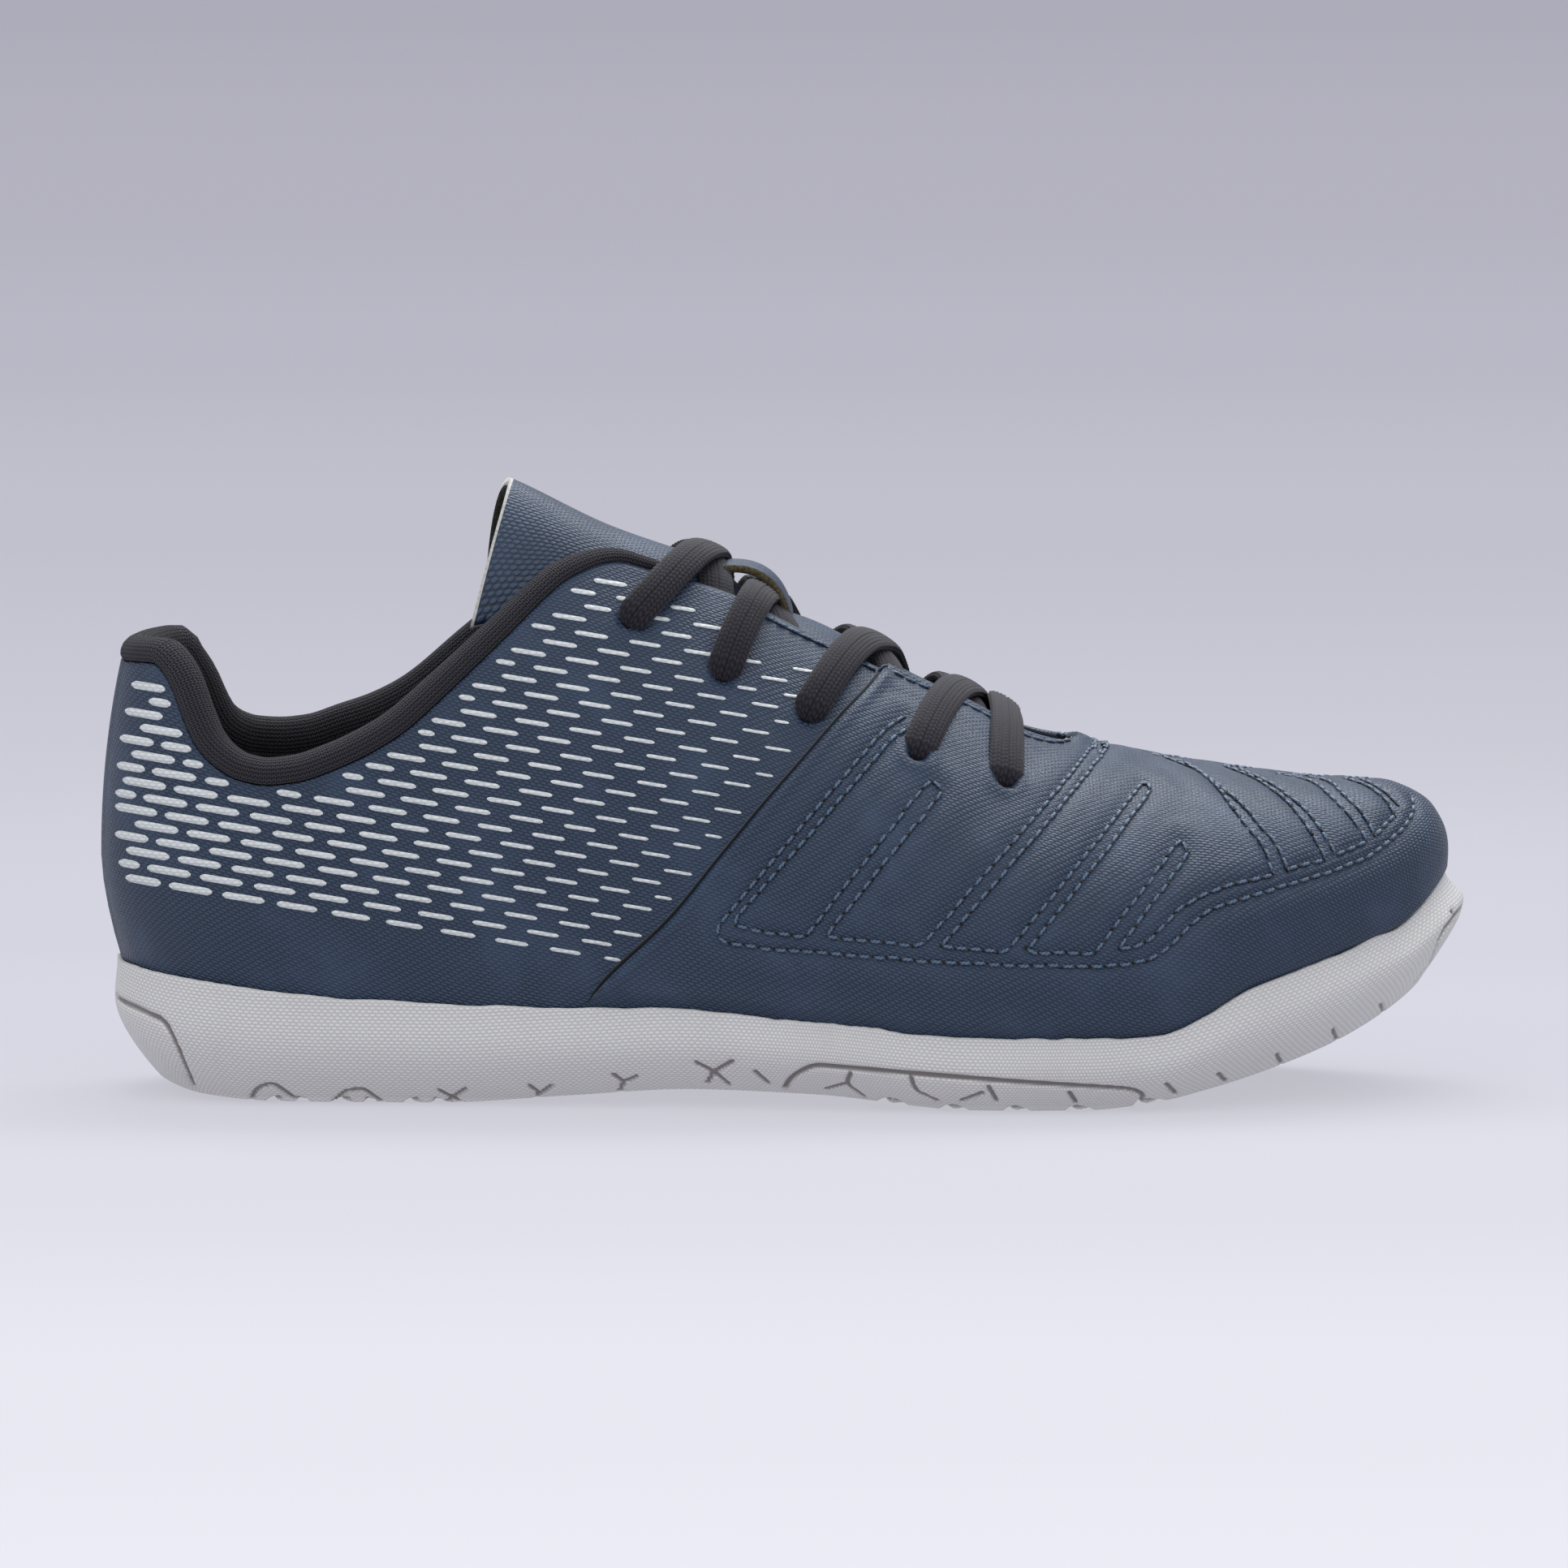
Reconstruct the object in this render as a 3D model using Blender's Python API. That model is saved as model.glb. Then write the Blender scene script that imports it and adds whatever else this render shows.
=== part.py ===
import bmesh
import bpy
import math
import numpy as np
from mathutils import Vector

for old in list(bpy.data.objects):
    bpy.data.objects.remove(old, do_unlink=True)

# Driving sizes in metres: a right shoe, toe to +X, lateral side to -Y
SHOE_LENGTH = 0.287
BALL_WIDTH = 0.103
WAIST_WIDTH = 0.078
HEEL_WIDTH = 0.072
HEEL_ROUND = 0.036
TOE_ROUND_LATERAL = 0.105
TOE_ROUND_MEDIAL = 0.080
TOE_TIP_SIDE = 0.005
TOE_SPRING = 0.031
SOLE_WALL = 0.0246
SOLE_THICKNESS = 0.012
SOLE_EDGE_ROUND = 0.009
ANKLE_HEIGHT = 0.150
INSTEP_HEIGHT = 0.105
TOE_BOX_HEIGHT = 0.0638
COLLAR_BACK_HEIGHT = 0.0925
COLLAR_LOW_HEIGHT = 0.0680
COLLAR_PEAK_HEIGHT = 0.1125
THROAT_HALF_WIDTH = 0.018
UPPER_WALL = 0.0018
VAMP_THICKNESS = 0.0009
LIP_THICKNESS = 0.0010
TONGUE_THICKNESS = 0.0022
TONGUE_HALF_WIDTH = 0.0265
TONGUE_TUCK = 0.0052
INSOLE_THICKNESS = 0.0035
COLLAR_ROLL_HEIGHT = 0.0060
COLLAR_ROLL_THICKNESS = 0.0064
LACE_WIDTH = 0.0060
LACE_THICKNESS = 0.0018
EYELET_RADIUS = 0.0021
LOOP_WIDTH = 0.0150
LOOP_THICKNESS = 0.0010
LUG_GROOVE_WIDTH = 0.0022
LUG_GROOVE_DEPTH = 0.0014
INSERT_LINE_WIDTH = 0.0010
GAP = 0.0003
VAMP_CLEARANCE = 0.0007
THROAT_BLEND = 0.006
BED_REACH = 0.010
TREAD_EDGE = 0.006
INSOLE_TUCK = 0.0006
LACE_LIFT = 0.0004
LOOP_RISE = 0.0014
LUG_CUTTER_DROP = 0.010
INSERT_CUTTER_REACH = 0.002

# Mesh fineness
STATIONS = 42
WALL_ROWS = (0.0, 0.06, 0.12, 0.17, 0.22)
UPPER_ROWS = 6

# How round the ends and the upper's foot are: powers of the curves that close them
HEEL_CURVE = 2.2
TOE_CURVE = 2.4
EDGE_CURVE = 2.2
FOOT_CURVE = 1.6

# Where the column of a station passes the lip of the sole and its widest line
LIP_AT = 0.12
WIDEST_AT = 0.22
VAMP_FOOT = 0.135

# Every table is read along the shoe, 0 at the heel and 1 at the toe tip.
# floor is a share of TOE_SPRING, wall of SOLE_WALL and bed of SOLE_THICKNESS.
SOLE_SIDE = (
    ("along", "floor", "wall", "bed"),
    (0.000, 0.258, 0.813, 0.72),
    (0.034, 0.116, 0.943, 0.78),
    (0.069, 0.039, 1.000, 0.90),
    (0.121, 0.006, 0.967, 1.00),
    (0.165, 0.000, 0.930, 1.05),
    (0.240, 0.000, 0.878, 1.08),
    (0.340, 0.055, 0.776, 0.95),
    (0.430, 0.105, 0.710, 0.75),
    (0.517, 0.085, 0.640, 0.70),
    (0.635, 0.000, 0.640, 0.74),
    (0.715, 0.000, 0.640, 0.72),
    (0.772, 0.052, 0.593, 0.68),
    (0.803, 0.116, 0.650, 0.67),
    (0.843, 0.213, 0.780, 0.65),
    (0.897, 0.381, 0.760, 0.64),
    (0.931, 0.532, 0.703, 0.62),
    (0.962, 0.710, 0.610, 0.60),
    (1.000, 1.000, 0.610, 0.58),
)

# Half widths of the sole as shares of the named width
OUTLINE = (
    ("along", "width", "lateral", "medial"),
    (0.00, HEEL_WIDTH, 0.500, 0.480),
    (0.12, HEEL_WIDTH, 0.515, 0.490),
    (0.26, HEEL_WIDTH, 0.540, 0.470),
    (0.40, WAIST_WIDTH, 0.530, 0.420),
    (0.50, WAIST_WIDTH, 0.585, 0.465),
    (0.60, BALL_WIDTH, 0.500, 0.420),
    (0.69, BALL_WIDTH, 0.530, 0.470),
    (0.80, BALL_WIDTH, 0.525, 0.490),
    (0.90, BALL_WIDTH, 0.480, 0.470),
    (1.00, BALL_WIDTH, 0.440, 0.450),
)

# Ridge of the last: its height as a share of the named size, its side step as a share of BALL_WIDTH
RIDGE = (
    ("along", "size", "height", "side"),
    (0.160, ANKLE_HEIGHT, 1.000, 0.000),
    (0.207, ANKLE_HEIGHT, 0.950, 0.000),
    (0.260, ANKLE_HEIGHT, 0.905, 0.005),
    (0.297, INSTEP_HEIGHT, 1.254, 0.010),
    (0.366, INSTEP_HEIGHT, 1.162, 0.020),
    (0.459, INSTEP_HEIGHT, 1.067, 0.030),
    (0.500, INSTEP_HEIGHT, 1.000, 0.035),
    (0.534, INSTEP_HEIGHT, 0.948, 0.035),
    (0.586, INSTEP_HEIGHT, 0.867, 0.035),
    (0.628, INSTEP_HEIGHT, 0.810, 0.035),
    (0.672, TOE_BOX_HEIGHT, 1.217, 0.035),
    (0.707, TOE_BOX_HEIGHT, 1.150, 0.035),
    (0.766, TOE_BOX_HEIGHT, 1.085, 0.040),
    (0.834, TOE_BOX_HEIGHT, 1.035, 0.045),
    (0.879, TOE_BOX_HEIGHT, 1.008, 0.048),
    (0.917, TOE_BOX_HEIGHT, 1.000, 0.050),
)

# Form of the upper's side: how far it swells past the lip of the sole and how far above the lip,
# both as shares of SOLE_WALL, how full its section is, and how far the lip stands inside the sole's outline
BODY = (
    ("along", "swell", "rise", "fullness", "lip"),
    (0.00, 0.175, 0.90, 2.00, 0.024),
    (0.12, 0.120, 0.75, 1.80, 0.030),
    (0.24, 0.070, 0.64, 1.72, 0.034),
    (0.30, 0.060, 0.60, 1.85, 0.035),
    (0.36, 0.055, 0.58, 2.15, 0.035),
    (0.45, 0.050, 0.57, 2.08, 0.035),
    (0.60, 0.060, 0.49, 2.00, 0.035),
    (0.80, 0.050, 0.41, 2.10, 0.045),
    (0.92, 0.025, 0.25, 2.20, 0.090),
    (1.00, 0.012, 0.18, 2.25, 0.160),
)

# Top line of the quarters: the collar's edge as a share of the named height, and its rise on the medial side
COLLAR = (
    ("along", "size", "height", "medial"),
    (0.000, COLLAR_BACK_HEIGHT, 0.984, 0.00),
    (0.020, COLLAR_BACK_HEIGHT, 0.992, 0.00),
    (0.033, COLLAR_BACK_HEIGHT, 0.994, 0.00),
    (0.041, COLLAR_BACK_HEIGHT, 0.975, -0.03),
    (0.048, COLLAR_BACK_HEIGHT, 0.940, -0.03),
    (0.057, COLLAR_BACK_HEIGHT, 0.870, -0.02),
    (0.066, COLLAR_LOW_HEIGHT, 1.107, 0.00),
    (0.080, COLLAR_LOW_HEIGHT, 1.047, 0.02),
    (0.098, COLLAR_LOW_HEIGHT, 1.006, 0.04),
    (0.119, COLLAR_LOW_HEIGHT, 0.991, 0.05),
    (0.142, COLLAR_LOW_HEIGHT, 1.001, 0.05),
    (0.168, COLLAR_LOW_HEIGHT, 1.037, 0.05),
    (0.193, COLLAR_LOW_HEIGHT, 1.085, 0.04),
    (0.218, COLLAR_LOW_HEIGHT, 1.149, 0.03),
    (0.241, COLLAR_PEAK_HEIGHT, 0.745, 0.02),
    (0.259, COLLAR_PEAK_HEIGHT, 0.788, 0.02),
    (0.294, COLLAR_PEAK_HEIGHT, 0.873, 0.01),
    (0.324, COLLAR_PEAK_HEIGHT, 0.948, 0.00),
    (0.337, COLLAR_PEAK_HEIGHT, 0.975, 0.00),
    (0.354, COLLAR_PEAK_HEIGHT, 1.000, 0.00),
    (0.375, COLLAR_PEAK_HEIGHT, 1.036, 0.00),
    (0.400, COLLAR_PEAK_HEIGHT, 1.102, 0.00),
    (0.440, COLLAR_PEAK_HEIGHT, 1.244, 0.00),
)

# Half width of the throat as a share of THROAT_HALF_WIDTH
THROAT = (
    ("along", "half"),
    (0.20, 1.50),
    (0.30, 1.22),
    (0.35, 1.05),
    (0.41, 1.03),
    (0.50, 1.00),
    (0.60, 0.95),
    (0.66, 0.92),
    (0.71, 0.92),
)
THROAT_FRONT = 0.712
THROAT_BACK = 0.30
THROAT_FRONT_ROUND = 0.050
LOOP_FROM = 0.457
LOOP_TO = 0.524
LOOP_RAMP = 0.3
COLLAR_FRONT = 0.385
COLLAR_TAPER = 0.62
COLLAR_TAPER_FROM = 0.62
COLLAR_TAPER_OVER = 0.36
TOE_SIDE_FROM = 0.57

# Columns whose ridge points draw together: from where, and to where
TOE_FAN_FROM = 0.776
TOE_FAN_TO = 0.917
HEEL_FAN_FROM = 0.259
HEEL_FAN_TO = 0.162

# The tongue: its ends along the shoe, how its top edge bows, how it narrows and where it is tucked in
TONGUE_TOP = 0.297
TONGUE_FRONT = 0.735
TONGUE_BOW = 0.030
TONGUE_NARROWING = 0.28
TUCK_ALL_ALONG = 0.25
TUCK_FROM = 0.50
TUCK_OVER = 0.12
UNDER_VAMP_FROM = 0.09
UNDER_VAMP_OVER = 0.06

# Laces: how far a crossing band reaches, where it leaves the upper, and where the vamp lifts it
LACE_REACH = 0.66
LACE_LEAVES_AT = 0.12
LACE_LEAVES_OVER = 0.28
LACE_ON_VAMP_FROM = 0.50
LACE_ON_VAMP_OVER = 0.04

# Side seam between quarter and vamp, heights as shares of INSTEP_HEIGHT
SEAM_BACK = 0.355
SEAM_FRONT = 0.585
SIDE_SEAM = (
    ("along", "height"),
    (0.352, 0.210),
    (0.367, 0.257),
    (0.414, 0.381),
    (0.451, 0.505),
    (0.483, 0.610),
    (0.508, 0.686),
    (0.540, 0.781),
    (0.562, 0.838),
    (0.585, 0.924),
)

# Lace holes on each side: where along, and how high as a share of INSTEP_HEIGHT
LACE_HOLES = (
    ("along", "height"),
    (0.383, 0.963),
    (0.451, 0.859),
    (0.513, 0.780),
    (0.592, 0.696),
    (0.656, 0.642),
)

# The wall of the sole: its rings, and the height where it starts to lean in to the lip
SOLE_RINGS = (0.0, 0.10, 0.30, 0.62, 0.85, 1.0)
SOLE_SHOULDER = 0.62

# Lug grooves run out to both sides of the sole: where along, and how far they slant to the toe at the edges
LUG_GROOVES = (
    ("along", "slant"),
    (0.110, 0.030),
    (0.160, 0.030),
    (0.210, 0.030),
    (0.600, -0.030),
    (0.645, -0.030),
    (0.690, -0.030),
    (0.735, -0.030),
    (0.785, -0.030),
)

# Edge lines of the three inserts on the sole's side: along, and height as a share of the wall there
FOREFOOT_INSERT = (
    ("along", "height"),
    (0.500, 0.05),
    (0.506, 0.28),
    (0.520, 0.46),
    (0.545, 0.52),
    (0.590, 0.48),
    (0.640, 0.38),
    (0.690, 0.29),
    (0.732, 0.26),
    (0.742, 0.20),
    (0.742, 0.03),
)
HEEL_INSERT = (
    ("along", "height"),
    (0.010, 0.58),
    (0.030, 0.55),
    (0.046, 0.46),
    (0.052, 0.30),
    (0.062, 0.10),
)
TOE_INSERT = (
    ("along", "height"),
    (0.996, 0.62),
    (0.985, 0.52),
    (0.975, 0.32),
    (0.966, 0.12),
)


def column(table, name):
    place = table[0].index(name)
    return np.array([row[place] for row in table[1:]])


def sized(table, size, name):
    return column(table, size) * column(table, name)


def smooth(xs, ys):
    # A smooth curve through the rows that never swings past them
    steps = np.diff(xs)
    slopes = np.diff(ys) / steps
    bend = np.zeros(len(xs))
    bend[0] = slopes[0]
    bend[-1] = slopes[-1]
    for i in range(1, len(xs) - 1):
        if slopes[i - 1] * slopes[i] > 0:
            before = 2 * steps[i] + steps[i - 1]
            after = steps[i] + 2 * steps[i - 1]
            bend[i] = (before + after) / (before / slopes[i - 1] + after / slopes[i])

    def value(x):
        x = np.clip(x, xs[0], xs[-1])
        i = np.clip(np.searchsorted(xs, x) - 1, 0, len(xs) - 2)
        t = (x - xs[i]) / steps[i]
        rest = 1 - t
        return (
            ys[i] * (1 + 2 * t) * rest ** 2
            + ys[i + 1] * t ** 2 * (3 - 2 * t)
            + steps[i] * (bend[i] * t * rest ** 2 - bend[i + 1] * t ** 2 * rest)
        )

    return value


floor_height = smooth(column(SOLE_SIDE, "along"), column(SOLE_SIDE, "floor") * TOE_SPRING)
wall_height = smooth(column(SOLE_SIDE, "along"), column(SOLE_SIDE, "wall") * SOLE_WALL)
bed_rise = smooth(column(SOLE_SIDE, "along"), column(SOLE_SIDE, "bed") * SOLE_THICKNESS)
lateral_half = smooth(column(OUTLINE, "along"), sized(OUTLINE, "width", "lateral"))
medial_half = smooth(column(OUTLINE, "along"), sized(OUTLINE, "width", "medial"))
ridge_height = smooth(column(RIDGE, "along"), sized(RIDGE, "size", "height"))
ridge_side = smooth(column(RIDGE, "along"), column(RIDGE, "side") * BALL_WIDTH)
swell = smooth(column(BODY, "along"), column(BODY, "swell") * SOLE_WALL)
swell_rise = smooth(column(BODY, "along"), column(BODY, "rise") * SOLE_WALL)
fullness = smooth(column(BODY, "along"), column(BODY, "fullness"))
lip_inset = smooth(column(BODY, "along"), column(BODY, "lip") * SOLE_WALL)
collar_height = smooth(column(COLLAR, "along"), sized(COLLAR, "size", "height"))
medial_rise = smooth(column(COLLAR, "along"), column(COLLAR, "medial") * COLLAR_LOW_HEIGHT)
throat_half = smooth(column(THROAT, "along"), column(THROAT, "half") * THROAT_HALF_WIDTH)
seam_height = smooth(column(SIDE_SEAM, "along"), column(SIDE_SEAM, "height") * INSTEP_HEIGHT)


def along_of(x):
    return x / SHOE_LENGTH + 0.5


def x_of(along):
    return (along - 0.5) * SHOE_LENGTH


def closing(distance, length, power):
    # 1 inside, falling to 0 over the last length before an end
    share = np.clip(1 - distance / length, 0, 1)
    return (1 - share ** power) ** (1 / power)


def ease(t):
    t = np.clip(t, 0, 1)
    return t * t * (3 - 2 * t)


def outline_point(x, side):
    # side is -1 on the lateral and 1 on the medial side
    along = along_of(x)
    half = lateral_half(along) if side < 0 else medial_half(along)
    toe_round = TOE_ROUND_LATERAL if side < 0 else TOE_ROUND_MEDIAL
    half = half * closing(x + SHOE_LENGTH / 2, HEEL_ROUND, HEEL_CURVE)
    half = half * closing(SHOE_LENGTH / 2 - x, toe_round, TOE_CURVE)
    middle = TOE_TIP_SIDE * ease((along - TOE_SIDE_FROM) / (1 - TOE_SIDE_FROM))
    return middle + side * half


def side_outline(side):
    # Even steps round one side from the toe tip to the heel, closer where the throat ends
    turn = np.linspace(0, math.pi, 2400)
    x = np.cos(turn) * SHOE_LENGTH / 2
    y = outline_point(x, side)
    step = np.hypot(np.diff(x), np.diff(y))
    middle = along_of((x[1:] + x[:-1]) / 2)
    near_throat = np.exp(-((middle - THROAT_FRONT + 0.02) / 0.05) ** 2)
    near_seam = np.exp(-((middle - 0.53) / 0.05) ** 2)
    way = np.concatenate(([0], np.cumsum(step * (1 + 0.9 * near_throat + 1.1 * near_seam))))
    return way / way[-1], x, y


WAY_LATERAL = side_outline(-1)
WAY_MEDIAL = side_outline(1)


def base(f, side):
    # Point of the sole's outline at share f of the way from toe tip to heel, and its outward normal
    way, xs, ys = WAY_LATERAL if side < 0 else WAY_MEDIAL
    x = np.interp(f, way, xs)
    y = np.interp(f, way, ys)
    reach = 0.006
    x_ahead = np.interp(f - reach, way, xs)
    y_ahead = np.interp(f - reach, way, ys)
    x_behind = np.interp(f + reach, way, xs)
    y_behind = np.interp(f + reach, way, ys)
    dx = x_ahead - x_behind
    dy = y_ahead - y_behind
    length = np.hypot(dx, dy)
    nx = -side * dy / length
    ny = side * dx / length
    at_end = f < 1e-9 or f > 1 - 1e-9
    if at_end:
        nx = 1.0 if f < 0.5 else -1.0
        ny = 0.0
    return x, y, nx, ny


def ridge_x(f):
    # Columns fan out round the toe and the heel, so their ridge points draw together there
    x = (base(f, -1)[0] + base(f, 1)[0]) / 2
    toe_from = x_of(TOE_FAN_FROM)
    toe_to = x_of(TOE_FAN_TO)
    heel_from = x_of(HEEL_FAN_FROM)
    heel_to = x_of(HEEL_FAN_TO)
    tip = SHOE_LENGTH / 2
    if x > toe_from:
        power = (tip - toe_from) / (toe_to - toe_from)
        return toe_from + (toe_to - toe_from) * (1 - (1 - (x - toe_from) / (tip - toe_from)) ** power)
    if x < heel_from:
        power = (tip + heel_from) / (heel_from - heel_to)
        return heel_from - (heel_from - heel_to) * (1 - (1 - (heel_from - x) / (tip + heel_from)) ** power)
    return x


def column_facts(f, side):
    x, y, nx, ny = base(f, side)
    along = along_of(x)
    lip = floor_height(along) + wall_height(along)
    facts = {
        "x": x, "y": y, "nx": nx, "ny": ny, "lip": lip,
        "bed": floor_height(along_of(x - nx * BED_REACH)) + bed_rise(along),
        "inset": lip_inset(along) + LIP_THICKNESS + GAP,
        "swell": swell(along),
        "widest": lip + swell_rise(along),
    }
    facts["fullness"] = float(fullness(along_of((base(f, -1)[0] + base(f, 1)[0]) / 2)))
    facts["ridge_x"] = ridge_x(f)
    facts["ridge_y"] = float(ridge_side(along_of(facts["ridge_x"])))
    facts["ridge_z"] = float(ridge_height(along_of(facts["ridge_x"])))
    return facts


def last_point(c, v):
    # Outer face of the upper: v runs from the bed (0) past lip and widest line to the ridge (1)
    if v <= LIP_AT:
        z = c["bed"] + (c["lip"] - c["bed"]) * v / LIP_AT
    else:
        z = c["lip"] + (c["widest"] - c["lip"]) * min(1, (v - LIP_AT) / (WIDEST_AT - LIP_AT))
    below = max(0.0, (c["widest"] - z) / (c["widest"] - c["lip"]))
    inset = c["inset"] - c["swell"] + c["swell"] * below ** FOOT_CURVE
    x = c["x"] - c["nx"] * inset
    y = c["y"] - c["ny"] * inset
    if v > WIDEST_AT:
        turn = (v - WIDEST_AT) / (1 - WIDEST_AT) * math.pi / 2
        keep = max(0.0, math.cos(turn)) ** (2 / c["fullness"])
        climb = math.sin(turn) ** (2 / c["fullness"])
        x = c["ridge_x"] + (x - c["ridge_x"]) * keep
        y = c["ridge_y"] + (y - c["ridge_y"]) * keep
        z = c["widest"] + (c["ridge_z"] - c["widest"]) * climb
    if v >= 1:
        x = c["ridge_x"]
        y = c["ridge_y"]
    return Vector((x, y, z))


def last_normal(f, side, v):
    step_f = 0.002
    step_v = 0.004
    v = min(v, 1 - step_v)
    f_low = max(0.0, f - step_f)
    f_high = min(1.0, f + step_f)
    across = last_point(column_facts(f_high, side), v) - last_point(column_facts(f_low, side), v)
    up = last_point(column_facts(f, side), v + step_v) - last_point(column_facts(f, side), max(0.0, v - step_v))
    normal = across.cross(up) * side
    return normal.normalized()


def throat_width(along):
    # Half the throat's width, and below 0 outside its ends
    if along < THROAT_BACK or along >= THROAT_FRONT:
        return -TONGUE_HALF_WIDTH
    return throat_half(along) * closing(THROAT_FRONT - along, THROAT_FRONT_ROUND, 2.0)


def opening(p, side):
    # Above 0 inside the collar or the throat
    along = along_of(p.x)
    collar = p.z - collar_height(along) - (medial_rise(along) if side > 0 else 0.0)
    throat = throat_width(along) - abs(p.y - ridge_side(along))
    near = max(THROAT_BLEND - abs(collar - throat), 0.0) / THROAT_BLEND
    return max(collar, throat) + near * near * THROAT_BLEND / 4


def first_crossing(c, inside, low, high):
    # Where a column first enters a region, found by steps and then by halving
    steps = 60
    before = low
    for k in range(1, steps + 1):
        v = low + (high - low) * k / steps
        if inside(last_point(c, v)) > 0:
            for _ in range(24):
                middle = (before + v) / 2
                if inside(last_point(c, middle)) > 0:
                    v = middle
                else:
                    before = middle
            return v
        before = v
    return 1.0


def top_edge(f, side):
    c = column_facts(f, side)
    return first_crossing(c, lambda p: opening(p, side), WIDEST_AT + 0.02, 1.0)


def seam_edge(f, side):
    # Top of the vamp in this column: behind the side seam the vamp ends at the seam
    c = column_facts(f, side)

    def behind(p):
        along = along_of(p.x)
        if along > SEAM_FRONT:
            return -1.0
        if along < SEAM_BACK:
            return 1.0
        return p.z - seam_height(along)

    return first_crossing(c, behind, LIP_AT + 0.004, 1.0)


def seam_foot(side):
    # Station where the side seam comes down to the sole
    low = 0.5
    high = 0.9
    for _ in range(30):
        middle = (low + high) / 2
        if seam_edge(middle, side) > VAMP_FOOT:
            low = middle
        else:
            high = middle
    return low


def station_of(x, side):
    # Share f of the station whose outline point has this x
    low = 0.0
    high = 1.0
    for _ in range(40):
        middle = (low + high) / 2
        if base(middle, side)[0] > x:
            low = middle
        else:
            high = middle
    return (low + high) / 2


def place_on_side(along, height, side):
    # Station and v of the point of the upper that has this x and z
    x = x_of(along)
    f = station_of(x, side)
    v = 0.5
    for _ in range(30):
        c = column_facts(f, side)
        v = first_crossing(c, lambda p: p.z - height, WIDEST_AT, 1.0)
        f = min(1.0, max(0.0, f + (last_point(c, v).x - x) / (2.2 * SHOE_LENGTH)))
    return f, v


# Meshes
def material(name, colour, roughness):
    made = bpy.data.materials.new(name)
    made.use_nodes = True
    shader = made.node_tree.nodes["Principled BSDF"]
    shader.inputs["Base Color"].default_value = (*colour, 1)
    shader.inputs["Roughness"].default_value = roughness
    return made


SYNTHETIC = material("navy_synthetic", (0.036, 0.052, 0.086), 0.5)
KNIT = material("dark_knit", (0.040, 0.038, 0.052), 0.9)
LACE = material("dark_braid", (0.045, 0.042, 0.060), 0.85)
RUBBER = material("grey_rubber", (0.46, 0.46, 0.48), 0.6)
SOCK = material("dark_sock", (0.035, 0.036, 0.040), 0.9)


def build(name, points, faces, finish):
    # One closed body from points and faces, its faces turned outward
    mesh = bpy.data.meshes.new(name)
    mesh.from_pydata([tuple(p) for p in points], [], faces)
    shape = bmesh.new()
    shape.from_mesh(mesh)
    bmesh.ops.remove_doubles(shape, verts=shape.verts, dist=1e-6)
    bmesh.ops.triangulate(shape, faces=[f for f in shape.faces if len(f.verts) > 4])
    bmesh.ops.recalc_face_normals(shape, faces=shape.faces)
    if shape.calc_volume(signed=True) < 0:
        bmesh.ops.reverse_faces(shape, faces=shape.faces)
    shape.to_mesh(mesh)
    shape.free()
    mesh.shade_smooth()
    mesh.set_sharp_from_angle(angle=math.radians(50))
    made = bpy.data.objects.new(name, mesh)
    bpy.context.collection.objects.link(made)
    if finish:
        made.data.materials.append(finish)
    return made


def shell(name, points, quads, outer, inner, finish):
    # A wall between two offsets of a surface; outer and inner are lengths, or one length for each point
    sheet = bmesh.new()
    verts = [sheet.verts.new(p) for p in points]
    for a, b, c, d in quads:
        # every quad is split the same way, so that neighbouring walls keep their gap
        sheet.faces.new([verts[a], verts[b], verts[c]])
        sheet.faces.new([verts[a], verts[c], verts[d]])
    bmesh.ops.remove_doubles(sheet, verts=sheet.verts, dist=1e-6)
    bmesh.ops.recalc_face_normals(sheet, faces=sheet.faces)
    sheet.verts.ensure_lookup_table()
    sheet.verts.index_update()
    middle = sum((v.co for v in sheet.verts), Vector()) / len(sheet.verts)
    high = max(sheet.verts, key=lambda v: (v.co - middle).length)
    if high.normal.dot(high.co - middle) < 0:
        bmesh.ops.reverse_faces(sheet, faces=sheet.faces)
    sheet.normal_update()
    count = len(sheet.verts)
    outer_at = outer if callable(outer) else (lambda p: outer)
    inner_at = inner if callable(inner) else (lambda p: inner)
    solid = [v.co + v.normal * outer_at(v.co) for v in sheet.verts]
    solid += [v.co + v.normal * inner_at(v.co) for v in sheet.verts]
    faces = [[v.index for v in face.verts] for face in sheet.faces]
    faces += [[v.index + count for v in reversed(face.verts)] for face in sheet.faces]
    for edge in sheet.edges:
        if len(edge.link_faces) == 1:
            loop = next(l for l in edge.link_faces[0].loops if l.edge == edge)
            a = loop.vert.index
            b = loop.link_loop_next.vert.index
            faces.append([b, a, a + count, b + count])
    sheet.free()
    return build(name, solid, faces, finish)


def ring_faces(first, second, count):
    # Quads between two closed rings of points given by their first index
    return [
        [first + i, first + (i + 1) % count, second + (i + 1) % count, second + i]
        for i in range(count)
    ]


def cap_faces(first, count):
    # A flat cap over a ring, in strips from the lateral to the medial side
    half = count // 2
    faces = [[first, first + 1, first + count - 1]]
    for i in range(1, half - 1):
        faces.append([first + i, first + i + 1, first + count - i - 1, first + count - i])
    faces.append([first + half - 1, first + half, first + half + 1])
    return faces


def around():
    # Stations round the whole shoe: toe tip, lateral side, heel, medial side
    lateral = [(i / STATIONS, -1) for i in range(STATIONS + 1)]
    medial = [(i / STATIONS, 1) for i in range(STATIONS - 1, 0, -1)]
    return lateral + medial


RING = around()
FACTS = [column_facts(f, side) for f, side in RING]
TOPS = [top_edge(f, side) for f, side in RING]


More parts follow.
